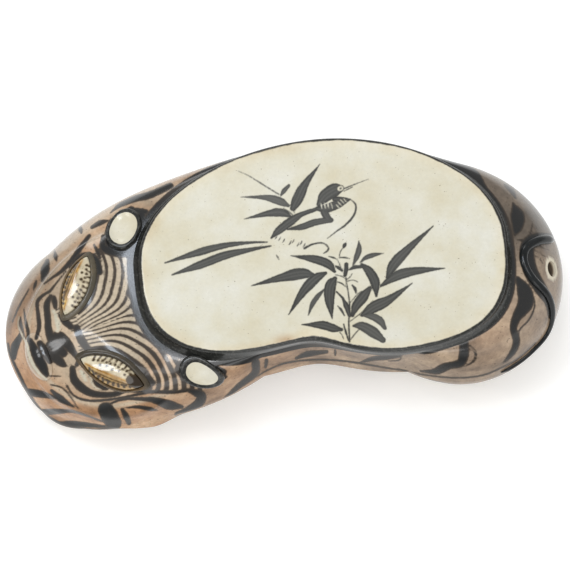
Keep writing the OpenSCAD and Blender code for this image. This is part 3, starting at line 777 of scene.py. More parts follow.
# brushwork on the headrest, in sheet units: bird on bamboo, a workshop motif
hair = (0.8, 1.1, 0.8)
headrestStrokes = [
    # upper spray
    ([(278.6, 194.2), (263, 184.7), (249, 176), (238, 171)], (1.4, 1.3, 0.5), 0.4),
    ([(288, 205.5), (279, 201), (265, 197.5), (240.5, 197)], (3, 8, 8, 4, 0.4), 0.55),
    ([(291, 216.5), (281, 212.5), (268, 213.5), (244, 219)], (2, 8, 9, 5, 0.4), 0.2),
    ([(293, 208), (298, 198), (305, 184), (319.7, 164)], (6, 11, 11, 6, 0.4), 0.05),
    ([(281, 195), (284, 190.5), (288.6, 185.6)], (2, 5, 3), 0.45),
    ([(283, 200), (285.5, 203), (288, 205)], (3, 3.5, 2), 0.2),
    ([(290, 205), (292, 209), (294.5, 212.5)], hair, 0.3),
    ([(283.5, 208.6), (289, 212), (294, 216)], (1, 1.6, 1), 0.3),
    # bird: crest, throat, beak, back, wing, breast, belly, foot, tail feathers
    ([(319, 204), (325, 196), (334, 190), (341, 188)], (5, 13, 14, 6), 0.1),
    ([(317, 208.5), (326, 208.5), (338, 204), (349.5, 199.5)], (4, 9, 9, 1.5), 0.1),
    ([(335, 199), (343, 198.5), (349, 199)], (6, 3, 1.5), 0.1),
    ([(343.7, 188.5), (355, 184), (368.5, 178.9)], (1.4, 1, 0.5), 0.4),
    ([(344, 191), (348, 189), (352.5, 186.6)], hair, 0.3),
    ([(315, 209.5), (301.6, 214.3), (291, 221), (278.6, 230.6), (270.9, 238.3)], (4, 5, 9, 8, 1.2), 0.2),
    ([(324, 212), (326, 215.5), (329, 219.5)], (7, 8, 6), 0.15),
    ([(331, 220), (316, 222), (301.6, 226.8), (287.2, 229.3)], (5, 7, 6.5, 1.5), 0.25),
    ([(350.4, 199), (355.6, 204.8), (354.2, 214.3), (346.5, 223.9), (336, 231.6), (327.4, 238.3)],
     (1, 1.8, 2.2, 1.6, 0.8), 0.3),
    ([(304.4, 248.3), (313, 244), (322.6, 243), (327.9, 246.9), (327.4, 250.7), (323.6, 253.1)],
     (2.4, 1.6, 1.5, 2, 1), 0.2),
    ([(267, 242.1), (249, 242.7), (225, 245.5), (200, 252), (165, 263)], (1.6, 2.8, 5.8, 8, 1), 0.3),
    ([(271, 245.9), (249, 250), (225, 255.5), (200, 265), (172, 275)], (1.4, 4.6, 8.4, 8.6, 1), 0.25),
    # lower spray: leaves
    ([(334.5, 271.4), (328, 264), (314, 259), (290.8, 255.7)], (3, 9, 8.5, 0.5), 0.1),
    ([(313, 275), (302, 273.5), (284, 277), (251.5, 285.8)], (4, 10, 12.5, 7, 0.5), 0.1),
    ([(325.5, 273), (315, 279), (303, 292), (288.8, 314.5)], (3, 9, 11, 7, 0.5), 0.1),
    ([(324.7, 289), (318, 296), (312.5, 304), (308.4, 315)], (1.5, 5, 5, 1), 0.55),
    ([(335, 278.5), (330.5, 286), (329.5, 299), (332.3, 318.5)], (4, 11, 12, 9, 0.6), 0.1),
    ([(341.7, 329.6), (333, 328), (322, 325), (301.9, 324.6)], (3, 8.5, 9, 0.6), 0.15),
    ([(361.5, 264.5), (369, 271), (375, 282), (376.4, 296)], (3, 9, 10.5, 2), 0.1),
    ([(352.5, 315.5), (356, 306), (363, 297), (369.8, 288)], (3, 9, 11, 4), 0.2),
    ([(362, 315), (374, 307), (389, 299.5), (412.3, 283)], (3, 11, 12, 7, 0.5), 0.25),
    ([(362.6, 315.2), (371, 316), (380, 320.5), (385, 328)], (2, 7, 8, 3.5), 0.6),
    ([(353.5, 325.7), (362, 326), (373, 332), (383, 340)], (2, 9, 11.5, 5.5), 0.45),
    ([(386.8, 277.3), (394, 264), (407, 250), (433.2, 225.7)], (2, 10, 11, 7, 0.6), 0.2),
    ([(381, 285.8), (396, 276), (414, 271), (445, 268)], (2, 9, 10.5, 7, 0.5), 0.2),
    ([(352.8, 265.5), (356.5, 257), (359, 249), (358.7, 240.7)], (1, 5.5, 6, 0.6), 0.5),
    ([(360, 262.3), (366, 257.5), (373, 255), (383.6, 253.1)], (1, 4.5, 5, 0.6), 0.45),
    # lower spray: stem, twigs and buds
    ([(349.6, 341.3), (348.9, 321.7), (349.6, 303.4), (345.7, 277.3)], (1.8, 1.6, 1.4), 0.2),
    ([(346.3, 264.2), (346, 270), (345, 275.3)], (4, 4.6, 3.5), 0.1),
    ([(335.8, 266.2), (339, 268), (342.4, 271)], (2, 3.4, 2), 0.2),
    ([(349.6, 269.4), (355, 267), (361.3, 266.8)], (2, 4, 3), 0.2),
    ([(339.1, 258), (340.3, 252), (344, 246)], hair, 0.3),
    ([(343.4, 247.5), (344.6, 245), (345.6, 243.4)], (2, 4, 2), 0.1),
    ([(328.7, 256.4), (333, 257.5), (336.5, 259)], (1, 1.8, 1), 0.3),
    ([(339.1, 257.6), (344.5, 257.4), (349.6, 258.6)], (1, 1.8, 1), 0.3),
    ([(337, 259), (340, 265), (343, 272)], hair, 0.4),
    ([(335.2, 274.7), (341, 276), (345.7, 278.6)], hair, 0.3),
    ([(347, 279.2), (350, 277), (352.2, 273.4)], hair, 0.3),
    ([(347, 281.2), (353, 280), (358, 282)], hair, 0.3),
    ([(352.2, 285.1), (355, 288.5), (356.1, 293)], (1.5, 3.4, 1.5), 0.3),
    ([(337.8, 281.9), (342, 283.5), (345.7, 286.8)], (1, 1.6, 1), 0.3),
    ([(336.5, 291.7), (343, 298.2), (345, 303.4)], (1.5, 2.6, 1.5), 0.3),
    ([(343, 298.9), (346.5, 306), (349.6, 315.2)], (2, 6, 4), 0.2),
    ([(337.8, 306), (341, 309.5), (344.3, 315.2)], (1, 2.6, 1.5), 0.5),
    ([(349.6, 303.4), (359, 293), (370.5, 287.7)], hair, 0.3),
    ([(349.6, 321.7), (362, 312), (373, 300.5)], hair, 0.3),
    ([(343.7, 324.3), (346, 332), (348.3, 340)], (1.4, 2.2, 1.4), 0.3),
    ([(339.8, 332.2), (342, 335), (343.7, 338.7)], hair, 0.3),
    ([(358.7, 329.6), (354, 335), (350.9, 339.5)], (1, 1.3, 1), 0.3),
    ([(276.4, 255.1), (277.5, 257), (279, 259.6)], (1, 1.6, 1), 0.5),
] + [([(x, y), (x + 1.2, y - 1.6), (x + 2, y - 3.6)], (0.7, 1.2, 0.7), 0.35)   # belly feathers
     for x, y in ((275, 239), (278.5, 240.5), (282.5, 242.5), (289, 244.5),
                  (292, 243), (297, 246), (300, 244.5), (303, 247))]
# left white inside the ink: throat feathers and the ring of the bird's eye
headrestReserves = [([(x, y), (x + 0.7, y + 2.8), (x + 1.4, y + 5.6)], (0.5, 1.2, 0.5))
                    for x, y in ((320.6, 203), (324, 202.8), (327.4, 202.8), (331, 202.8))] + [
    ([(336, 204.5), (338.9, 207.6)], (0.6, 1.1, 0.5)), ([(337.9, 201.9), (341.3, 205.2)], (0.6, 1.1, 0.5)),
    ([(340.4, 199.6), (343.9, 203)], (0.6, 1.1, 0.5)), ([(343.6, 198.6), (346, 201.4)], (0.6, 1, 0.5)),
    ([(339.6, 188.6), (341, 188)], (4.4, 4.4, 4.4))]
headrestDots = [([(340.2, 188.4), (340.8, 188.2)], (2, 2, 2))]


def paintHeadrest(obj):
    p = placesOf(obj)[0]
    dx, dy = p[:, 0] - rest["midX"], p[:, 1] - rest["midY"]
    th = np.degrees(np.arctan2(dy, dx))
    wobble = 0.15 * np.sin(0.9 * th) + 0.3 * np.sin(0.23 * th + 2)
    border = (restRadius(th) - np.hypot(dx, dy)) * perMm + wobble
    place = sheetPlace(p)
    ink, thin = inkField(place, headrestStrokes, 0.2)
    thin = 0.06 + 0.55 * thin + 0.3 * ease(-0.3, -3, ink)
    ink = np.maximum(ink - 0.08, -inkField(place, headrestReserves)[0])
    ink = np.minimum(ink, inkField(place, headrestDots)[0])
    wearAndSheen = 0.6 * bell((place[:, 0] - 286) / 10) * bell((place[:, 1] - 340) / 5)
    setFields(obj, ink=np.minimum(ink, border), thin=np.where(border < ink, 0.05, thin), smoke=wearAndSheen,
              warm=0.5 * ease(14, 0, border) + 0.4 * bell((th + 100) / 14) * ease(30, 4, border))


paintHeadrest(headrestSlab)

# stripes on the body, in sheet units
bodyStrokes = [
    # far side of the head, from the crown to the chin
    ([(89, 236), (81.3, 246.7), (71.8, 260.3), (61.2, 271.7), (51.7, 278.4), (44, 284.2)], (4, 6, 5, 3, 2)),
    ([(47.4, 261), (45, 270.6), (42.1, 281)], (4, 10, 3)),
    ([(54.5, 251.5), (55.5, 257), (56.5, 262)], (2, 5, 1), 0.3),
    ([(79.4, 226.6), (81.3, 233.3)], (3, 5, 2), 0.4),
    ([(110, 213.2), (119.6, 205.5), (135.9, 198.8), (150, 195), (170, 186)], (1, 5, 7, 8, 7)),
    ([(91.9, 227.5), (100.5, 222.8), (108, 220.8)], (4, 6, 2), 0.3),
    ([(103.3, 237), (104.3, 248.6), (119.6, 253.4), (134, 251.5)], (5, 9, 9, 8)),
    ([(108, 233.3), (112, 223.7), (122.5, 213.6), (134, 211), (145.5, 212)], (4, 4, 5, 7, 6)),
    ([(141.6, 212), (143, 223.7), (138.8, 237)], (8, 6, 7)),
    ([(93.8, 244.8), (98, 253), (101, 262)], (2, 5, 1)),
    ([(70, 268), (77, 259), (88, 255.5), (96, 261), (99, 272)], (3, 6, 7, 8, 8)),
    ([(66, 271.6), (57.4, 282), (49.8, 291.7)], (1.5, 2.2, 3)),
    ([(49.8, 291.7), (42.1, 296.4), (37.3, 303), (38.3, 315.6), (39.2, 327), (36.4, 338.5)], (3, 4, 4, 5, 4)),
    ([(50.7, 296.4), (46.9, 305), (47.8, 319.4), (48.8, 330.9), (51.7, 340.5)], (4, 7, 7, 8, 9)),
    ([(54, 298), (55.5, 308)], (5, 6, 4)),
    ([(23.9, 309.8), (25.8, 322.3), (28.2, 331.8), (27.8, 339.5)], (1.5, 4, 3)),
    ([(20.6, 317.5), (21, 327), (24.9, 338.5)], (1.5, 5, 2)),
    ([(36.4, 281), (33.5, 290.7)], (2, 4, 1)),
    ([(28.7, 289.7), (19, 307), (12.4, 322.3)], (1.5, 2.4, 1.5)),
    ([(22, 334), (15.3, 346.6), (13.4, 358)], (5, 9, 6)),
    # nose, muzzle and the near cheek
    ([(30, 341), (34, 349.5), (38, 358), (42.5, 366.5), (46.5, 375)], (6, 10, 12, 11, 6)),
    ([(52, 340), (58.5, 337), (65, 342), (71, 349), (78, 359)], (8, 12, 12, 9, 4)),
    ([(48, 352), (55, 357), (62, 363.5), (66, 366)], (6, 12, 8, 3)),
    ([(50, 345), (57, 348.5), (63, 353)], (8, 14, 10)),
    ([(40, 344), (45.5, 352.5), (50, 361)], (7, 11, 7), 0.25),
    ([(76.6, 328), (81.3, 339.9), (90, 352.3)], (7, 9, 7)),
    ([(60, 316), (65, 321.5), (71, 327)], (4, 8, 7)),
    ([(86, 356), (89, 364.8)], (5, 6, 5)),
    ([(72.7, 368.6), (74.6, 380), (84.2, 389.6), (95.7, 394.4), (114.8, 394.4), (132, 387.7)],
     (6, 9, 9, 7, 6, 4)),
    ([(90.9, 376.2), (100.5, 385.8), (107.2, 388.7)], (5, 9, 4)),
    ([(67, 346.6), (72.7, 352.3)], (4, 5, 4)),
    ([(79.4, 360), (76.6, 365.7)], (4, 5, 4)),
    ([(67, 385.8), (72.7, 394.4), (81.3, 399.2), (95.7, 401), (119.6, 398.3), (150, 392.5), (175, 392)],
     (2.4, 2.6, 3, 3, 4)),
    ([(50.7, 384.9), (61.2, 387.7), (68.9, 394.4), (78.5, 408.8)], (1.6, 2.2, 2, 1.6)),
    ([(51.7, 390.6), (61.2, 399.2), (73.7, 406.9)], (3, 8, 2)),
    ([(49.8, 376.2), (61.2, 376.6)], (1.6, 2.2, 1.2), 0.5),
    ([(108, 405), (124.4, 399.2), (150, 399)], (2, 3.4, 4)),
    ([(106, 410), (110, 416.4), (114, 423)], (16, 18, 16)),
    ([(122.5, 409.7), (126.4, 416.4), (129.2, 423)], (4, 7, 5)),
    ([(126.3, 407.8), (138.8, 407.2), (150, 409), (158, 410.5)], (1.5, 4, 5, 1)),
    ([(29.7, 392.5), (41, 394.4), (56.5, 398.3)], (8, 8, 3)),
    ([(42, 412.6), (57.4, 411.7), (72.7, 411.7), (86, 415.5), (101.4, 421.2)], (7, 6, 3, 2, 2)),
    ([(59.3, 423), (71.8, 424), (86, 425), (105.3, 427)], (3, 7, 6, 3)),
    ([(132, 399.4), (151.7, 399.8), (169, 405), (182, 407)], (2, 6, 11, 4)),
    ([(190.7, 391), (201, 395.5), (199, 403), (188.6, 410), (176.6, 414)], (5, 11, 10, 8, 4)),
    ([(130, 390.7), (151.7, 391.8), (172, 392.5), (190, 390)], (4, 4, 3.5, 4)),
    # line drawn over the foot below the head
    ([(8, 344), (10.5, 355), (19, 374), (28.7, 393.5), (41, 410.7), (59, 423), (90, 430), (118, 427.5)],
     (2.6, 3.8, 3.8, 3)),
    ([(137, 372), (146, 377.5), (153, 383)], (4, 10, 6), 0.3),
    # front wall
    ([(255.8, 362.5), (254.7, 373.4), (238.5, 386.4), (227.6, 397.2), (214.6, 408)], (9, 8, 6, 5, 4)),
    ([(266.7, 360.4), (265.6, 367)], (4, 4, 3)),
    ([(296.3, 358.2), (308.2, 353.9), (326.6, 351.7)], (3, 7, 4)),
    ([(335.3, 350), (335.3, 354.8)], (2, 3, 2)),
    ([(360.3, 362.5), (372.2, 358.7), (386.3, 357), (398.2, 354.9)], (2, 5, 6, 6)),
    ([(402.6, 354.9), (399.3, 359.8), (388.5, 360.9)], (1.5, 1.6, 1)),
    ([(419.9, 370.7), (437.3, 371), (450, 365.5)], (1.5, 7, 7)),
    ([(256, 377), (270, 369), (288, 362.5), (317, 359.5), (345, 361), (365, 364), (385, 367.5), (406, 370.5)],
     (1.4, 2.2, 2.2, 1.8)),
    # rump
    ([(513, 203), (517.5, 215.7), (517.5, 226.4), (514.8, 234.5)], (2, 16, 12, 3)),
    ([(532.7, 222), (530, 233.6), (523.8, 238.9), (517.5, 239.8)], (1.5, 3, 2)),
    ([(505, 184.5), (512, 190.7), (515.7, 197.9)], (3, 6, 2), 0.3),
    ([(518, 279), (524.5, 291), (525.5, 303), (517, 316.5), (513.5, 328), (516.5, 341), (512.5, 352),
      (504, 362)],
     (6, 16, 17, 10, 7.5, 8, 6.5, 2.5)),
    ([(528, 284), (532.7, 294.5), (534.5, 306), (529, 319.5), (519.3, 330.2), (518.4, 345.4), (510.4, 357.9)],
     (1.5, 2, 2, 2, 1.5)),
    ([(553, 237), (537, 239), (527.5, 246), (527.7, 259), (531.5, 273), (541, 289), (549, 301.5), (551, 316)],
     (8, 14, 15, 15, 15, 13, 10, 6)),
    ([(534, 247), (541, 247.5), (549, 250)], (1.2, 1.8, 0.8), 0.4),
    ([(534, 251), (540, 253), (545.5, 256.5)], (1.2, 1.8, 0.8), 0.4),
    ([(535, 255.5), (539.5, 258.5), (543, 263)], (1.2, 1.6, 0.8), 0.4),
    ([(398, 368.5), (421, 374), (453, 377.5), (480, 375.5), (500, 368), (518, 358), (536, 342)],
     (1.4, 2, 2, 1.6), 0.2),
    ([(463.9, 341), (463.9, 354.3), (459.5, 363.2), (443.4, 365.9), (433.6, 371.3)], (10, 11, 9, 6, 5)),
    ([(470.2, 345.4), (475.5, 352.5), (473.8, 360.5), (465.7, 365.9)], (2, 3.2, 3, 1)),
]
# stripes on the back wall: turn in sheet units, and height in millimetres
backStrokes = [
    ([(18, 66), (25, 46), (19, 28)], (2, 11, 2)),
    ([(42, 96), (57, 74), (50, 50), (61, 20)], (5, 16, 11, 2)),
    ([(66, 84), (75, 66), (69, 46), (77, 30)], (1.2, 2.6, 2, 1)),
    ([(88, 99), (84, 86), (90, 72)], (6, 8, 1.5)),
    ([(118, 99), (104, 74), (113, 48), (100, 16)], (7, 15, 12, 2)),
    ([(127, 88), (120, 66), (127, 46), (119, 32)], (1.2, 2.4, 2, 1)),
    ([(146, 100), (152, 84), (146, 62)], (4, 9, 1.5)),
    ([(170, 100), (179, 78), (168, 54), (181, 30), (176, 14)], (6, 16, 12, 8, 2)),
    ([(189, 92), (195, 74), (186, 52), (194, 36)], (1.2, 2.4, 2, 1)),
    ([(212, 100), (207, 86), (213, 66)], (5, 8, 1.5)),
    ([(238, 100), (225, 74), (235, 50), (222, 26)], (7, 15, 11, 2)),
    ([(249, 92), (241, 68), (249, 48), (241, 34)], (1.2, 2.4, 2, 1)),
    ([(266, 98), (272, 82), (266, 58), (271, 44)], (4, 9, 6, 1.5)),
    ([(288, 97), (300, 74), (289, 48), (303, 18)], (6, 16, 12, 2)),
    ([(309, 88), (315, 68), (306, 48), (315, 30)], (1.2, 2.4, 2, 1)),
    ([(332, 84), (326, 70), (332, 54)], (3, 8, 1.5)),
    ([(350, 76), (341, 56), (350, 36), (340, 16)], (3, 13, 9, 2)),
]
# low walls under the head and the front: mouth, paws with toes, and short stripes, in the same units
frontStrokes = [
    ([(412, 47), (424, 40), (438, 44), (452, 40), (464, 46)], (1.4, 3, 2.2, 3, 1.4)),
    ([(438, 44), (438, 50), (439, 57)], (1.4, 2.2, 1.4)),
    ([(391, 64), (387, 46), (393, 26)], (2, 8, 2)),
    ([(402, 58), (399, 44), (404, 33)], (1.5, 4.5, 1.5)),
    ([(470, 44), (475, 30), (469, 16)], (3, 9, 2)),
    ([(491, 48), (485, 38), (492, 28), (487, 17)], (3, 9, 7, 1.5)),
    ([(512, 40), (517, 30), (510, 20)], (1.5, 4, 1.2)),
    ([(541, 50), (534, 38), (543, 27), (537, 16)], (3, 10, 8, 1.5)),
    ([(563, 42), (568, 32), (562, 22)], (1.2, 3, 1)),
    ([(596, 50), (603, 38), (595, 27), (602, 16)], (3, 10, 8, 1.5)),
    ([(622, 40), (617, 31), (623, 21)], (1.2, 3.4, 1)),
    ([(648, 48), (641, 37), (650, 26), (644, 16)], (3, 9, 7, 1.5)),
    ([(676, 42), (681, 32), (675, 22)], (1.2, 3.4, 1)),
    ([(705, 50), (697, 38), (706, 27), (700, 16)], (3, 10, 7, 1.5)),
    ([(735, 44), (740, 32), (733, 20)], (2, 7, 1.5)),
]
for paw in (421, 457):
    frontStrokes.append(([(paw - 14, 14), (paw - 11, 26), (paw, 31), (paw + 11, 26), (paw + 14, 14)],
                         (1.4, 2.6, 2.6, 1.4)))
    frontStrokes += [([(paw + k, 22 - 0.05 * k * k), (paw + 1.1 * k, 13)], (1.2, 2.2, 1.2)) for k in (-6, 0, 6)]
# cream left between the dark: a painted highlight along the lip, and the strips beside the nose
creamAndHighlightStrokes = [
    ([(19, 317), (18.5, 326), (23, 337), (27, 344.5), (29, 354), (33.5, 365), (40, 374), (47, 380)],
     (1, 1.6, 2, 3, 3.6, 3, 2)),
    ([(53.5, 311), (56.5, 319), (58, 327), (57.5, 331.5)], (3, 5, 5.5, 3)),
    ([(81, 371), (84, 376), (86, 381)], (3.5, 4.5, 3)),
    ([(88, 371), (91, 378), (94, 386), (101, 390)], (2, 2.4, 2, 1.2)),
]


# distance to an almond in its own frame: long axis x, half length and half width
def almondGap(x, y, length, width):
    r = (length ** 2 + width ** 2) / (2 * width)
    d = r - width
    ax, ay = np.abs(x), np.abs(y)
    return np.where((ax - length) * d > ay * length, np.hypot(ax - length, ay), np.hypot(ax, ay + d) - r)


# nested lines round the eyes, drawn together towards the bridge of the nose
browLines = {"first": {1: 7.2, -1: 5.8}, "pitch": 4.7, "close": 0.52, "reach": 36, "half": 0.215}


def browField(p, place):
    ink, pale = np.full(len(p), noInk), np.zeros(len(p))
    nearest = np.full(len(p), np.inf)
    acrossSheet, downSheet = place.T
    for side in (1, -1):
        at, fx, fy = eyeSeat(side)[1:4]
        x, y = (p - at) @ fx, side * ((p - at) @ fy)
        gap = almondGap(x, y, eyes["length"] / 2, eyes["width"] / 2)
        pitch = browLines["pitch"] * mixed(browLines["close"], 1, ease(-24, 4, x))
        f = (gap + 0.35 * np.sin(x / 4.1) - browLines["first"][side]) / pitch
        part = f % 1
        # towards the near ear the lines close up and less cream shows
        towardEar = ease(8, 22, x) if side > 0 else np.zeros(len(p))
        half = browLines["half"] + 0.1 * towardEar
        line = (np.minimum(np.abs(part - 0.78), np.abs(part + 0.22)) - half) * pitch * perMm
        line = np.where(f < 0, np.maximum(-3, f * pitch * perMm), line)
        brow = (y > -3 + 0.4 * np.abs(x - 8)) | ((x > 14) & (y > -9) & (side > 0))
        if side > 0:
            brow &= downSheet < 391
        else:
            brow &= (downSheet > 243) & ((acrossSheet < 104) | (downSheet > 254))
            brow &= acrossSheet + downSheet > 322
        mine = (gap < nearest) & (gap < browLines["reach"]) & brow & (p[:, 2] > 60)
        nearest = np.where(mine, gap, nearest)
        ink = np.where(mine, line, ink)
        pale = np.where(mine, 0.68 - 0.4 * towardEar, pale)
    return ink, pale


# how squarely a wall faces the sheet where the strokes of the top run out and those of the low wall begin
wallTurn = {"topOut": 0.06, "topFull": 0.18, "lowFull": 0.08, "lowOut": 0.2}
footLine = {"up": 10.5, "half": 1.3}


def paintBody(obj):
    p, n = placesOf(obj)
    # at the seam the wall stands upright; the flat joint doesn't count
    n[np.abs(p[:, 2] - body["seam"]) < 0.3, 2] = 0
    n = unit(n)
    facing = n @ toEye
    seen = facing > wallTurn["topOut"]
    ink, thin = np.full(len(p), noInk), np.zeros(len(p))
    place = sheetPlace(p)
    ink[seen], thin[seen] = inkField(place[seen], bodyStrokes)
    dx, dy = p[:, 0] - rest["midX"], p[:, 1] - rest["midY"]
    th = np.degrees(np.arctan2(dy, dx))
    hidden = ~seen & (th > -5) & (th < 172)
    wall = np.stack([th * perDegree, p[:, 2]], -1)
    ink[hidden], thin[hidden] = inkField(wall[hidden], backStrokes)
    # strokes of the top run out where the wall turns under, those of the low wall begin there
    ink += np.where(seen, 7 * ease(wallTurn["topFull"], wallTurn["topOut"], facing), 0)
    turn = th % 360
    low = (facing < wallTurn["lowOut"]) & (turn > 174) & (turn < 350)
    wall[:, 0] = turn * perDegree
    under, underThin = inkField(wall[low], frontStrokes)
    under += 7 * ease(wallTurn["lowFull"], wallTurn["lowOut"], facing[low])
    thin[low] = np.where(under < ink[low], underThin, thin[low])
    ink[low] = np.minimum(ink[low], under)
    brow, browPale = browField(p, place)
    thin = np.where(brow < ink, 0.42, thin)
    ink = np.minimum(ink, brow)
    # black band under the headrest: wider at the back, at the front waist and towards the head
    rr, zr = column(th)[:2]
    bandWidth = (5.5 + 2 * bell((turn - 195) / 40) - 3.5 * bell((turn - 321) / 14)
                 + 4.5 * bell((turn - 266) / 26) + 8 * ease(22, 33, th) * ease(135, 95, th))
    band = (np.hypot(np.hypot(dx, dy) - rr, p[:, 2] - zr) - bandWidth) * perMm
    wearAndSheen = 0.1 + 0.35 * np.clip(np.sin(0.21 * th) * np.sin(0.083 * th + 1), 0, 1)
    thin = np.where(band < ink, wearAndSheen, thin)
    ink = np.minimum(ink, band)
    # dark wash round the ears
    for at, share in ((ears["left"], ears["leftShare"]), (ears["right"], 1)):
        f = earSeat(at, share)
        x, y, up = (p - f[1]) @ f[2], (p - f[1]) @ f[3], (p - f[1]) @ np.cross(f[2], f[3])
        wash = np.hypot(x / (ears["width"] * share), y / ears["length"]) * 2
        wash -= 1.24 + 0.05 * np.sin(0.7 * x + 0.4 * y)
        ink = np.where(np.abs(up) < 9, np.minimum(ink, wash * 16), ink)
    ink = np.minimum(ink, (np.abs(p[:, 2] - footLine["up"]) - footLine["half"]) * perMm)
    # a painted highlight runs pale along the edge of the jaw
    ahead, across = faceOf(p)
    jawEdgeHighlight = 0.6 * bell((jawReach(ahead, across) - 0.965) / 0.02) * ease(8, 30, ahead) * (p[:, 2] > 40)
    lip = inkField(place, creamAndHighlightStrokes)[0]
    pale = np.maximum(np.maximum(browPale, jawEdgeHighlight), np.where(seen, ease(0.6, -0.6, lip), 0))
    # painted light: a paler patch on the crown behind the far ear
    pale = np.maximum(pale, 0.5 * bell((p[:, 0] + 88) / 22) * bell((p[:, 1] - 48) / 12))
    ink = np.where(seen, np.maximum(ink, -lip), ink)
    # the ground of the face is washed with cream
    creamWash = ease(26, 44, ahead) * ease(1.02, 0.86, jawReach(ahead, across)) * (p[:, 2] > 40)
    pale = np.maximum(pale, 0.5 * creamWash)
    thin = np.maximum(thin, 0.26 * creamWash)
    # vent: bare chipped rim, and painted shade that darkens the inside of the bore
    away = p - ventAt
    depth = away @ ventOut
    ring = np.linalg.norm(away - np.outer(depth, ventOut), axis=1)
    near = np.linalg.norm(away, axis=1) < vent["around"]
    spin = np.arctan2(away[:, 2], away[:, 1])
    chip = vent["rim"] + 0.3 * np.sin(3 * spin) + 0.2 * np.sin(7 * spin + 1)
    bare = np.where(near, ease(0.4, -0.4, ring - chip) * ease(-2.4, -1.2, depth), 0)
    bore = near & (ring < vent["bore"] / 2 + 0.3)
    # more shine on the far side of the head and over the rump; on the far side of the head the colour also
    # takes a painted sheen of cream
    farCheekSheen = ease(-80, -115, p[:, 0]) * ease(-0.1, 0.5, n[:, 1])
    sheen = farCheekSheen + 0.4 * ease(110, 150, p[:, 0]) * ease(0.2, 0.7, n[:, 0])
    # russet on the head, the front waist and low on the rump; darker towards the back of the rump, and painted
    # shade on the far cheek and at the tip of the head
    warm = (ease(-40, -100, p[:, 0]) + 0.45 * bell((p[:, 0] - 118) / 20) * bell((p[:, 1] + 36) / 16)
            + 0.6 * bell((p[:, 0] + 25) / 45) * ease(-20, -45, p[:, 1]))
    smoke = (0.7 * ease(60, 150, p[:, 0]) * ease(-30, 40, p[:, 1])
             + 0.3 * ease(-8, -40, across) * ease(15, 60, ahead)
             + 0.25 * ease(-140, -172, p[:, 0]) * ease(-45, -15, p[:, 1]))
    setFields(obj, ink=np.where(bore, noInk, ink), thin=thin, bare=bare, warm=np.clip(warm, 0, 1),
              pale=np.maximum(pale, 0.5 * farCheekSheen), smoke=np.where(bore, 0.8 * ease(-1.4, -3, depth), smoke),
              gloss=np.maximum(ease(0.3, 0.75, n[:, 2]), 0.65 * sheen))


# the muzzle's brushwork runs on over the nose
def paintNose(obj):
    place = sheetPlace(placesOf(obj)[0])
    ink, thin = inkField(place, bodyStrokes)
    # the painted highlight along the lip runs on over the nose too
    lip = inkField(place, creamAndHighlightStrokes)[0]
    setFields(obj, ink=np.maximum(ink, -lip), thin=thin, pale=np.maximum(0.5, ease(0.6, -0.6, lip)),
              warm=1, gloss=0.9)


paintBody(lowerBody)
paintBody(upperBody)
paintNose(nosePad)

# ears: black rim and foot, white cup
for ear, white in ((leftEar, 0.66), (rightEar, 0.78)):
    rowInk = [-3.0 if share > white or height < 0.34 else 4.0 for share, height in earSteps]
    setFields(ear, ink=np.concatenate([np.repeat(rowInk, ears["points"]), [-3.0, 4.0]]), warm=0.2)


# eyes in their own frame: amber along the ridge, a brown line below it, black dots towards both edges
def paintEye(ball, side):
    p, f, scale = placesOf(ball)[0], eyeSeat(side), eyes["brush"]
    x, y = (p - f[1]) @ f[2], side * ((p - f[1]) @ f[3])
    low = y + eyes["ridgeOff"]

    def halfWidth(at):
        return eyes["width"] / 2 * (1 - (2 * at / eyes["length"]) ** 2) ** 0.775

    dots = [(at, 0.64 * halfWidth(at) + 0.3 * math.sin(3.1 * at)) for at in np.arange(-13, 14.5, 2.7)]
    dots += [(at + 1, 0.3 * halfWidth(at) + 0.4 * math.sin(2.3 * at)) for at in np.arange(-9, 11, 4.1)]
    dots += [(at, -0.8 * halfWidth(at) + 0.2 * math.sin(2.7 * at)) for at in np.arange(-13.5, 14.5, 2.5)]
    strokes = [([(a, b), (a + 0.4, b + 0.7)], (2 + 0.6 * math.sin(7 * a), 2.8, 2))
               for a, b in np.array(dots) * scale]
    strokes.append(([(-21, -5.2), (0, -5.6), (21, -4.6)], (0.7, 1.3, 0.7), 0.8))
    # short lashes painted over both edges
    strokes += [([(scale * a, k * 1.08 * halfWidth(a)), (scale * a + 0.8, k * 1.55 * halfWidth(a))],
                 (w, w + 0.8, w + 1))
                for k, w in ((-1, 1.7), (1.1, 1.3)) for a in np.arange(-13.5, 14, 3.4)]
    if side > 0:
        strokes.append(([(16.5, 0.5), (21, 0.5), (30, 0)], (2, 11, 15), 0.3))
    ink, thin = inkField(np.stack([x, y], -1) * scale, strokes)
    amber = np.maximum(np.maximum(bell(low / 1.3), 0.8 * ease(0.5, -1.4, low)), 0.22)
    setFields(ball, ink=ink, thin=thin, warm=amber * ease(1, 0.85, np.abs(x) * 2 / eyes["length"]))


# the lids' black slip carries a painted grey sheen, and has run thin and brown on the cheek side
def paintLid(lid, side, wearAndSheen):
    f = eyeSeat(side)
    up = side * ((placesOf(lid)[0] - f[1]) @ f[3])
    setFields(lid, ink=noInk, warm=0.2 + 0.7 * ease(0, -4, up), pale=wearAndSheen)


paintEye(leftEyeball, 1)
paintEye(rightEyeball, -1)
paintLid(leftEyelid, 1, 0.06)
paintLid(rightEyelid, -1, 0.12)
setFields(tailCoil, ink=noInk)
print("brushwork laid")

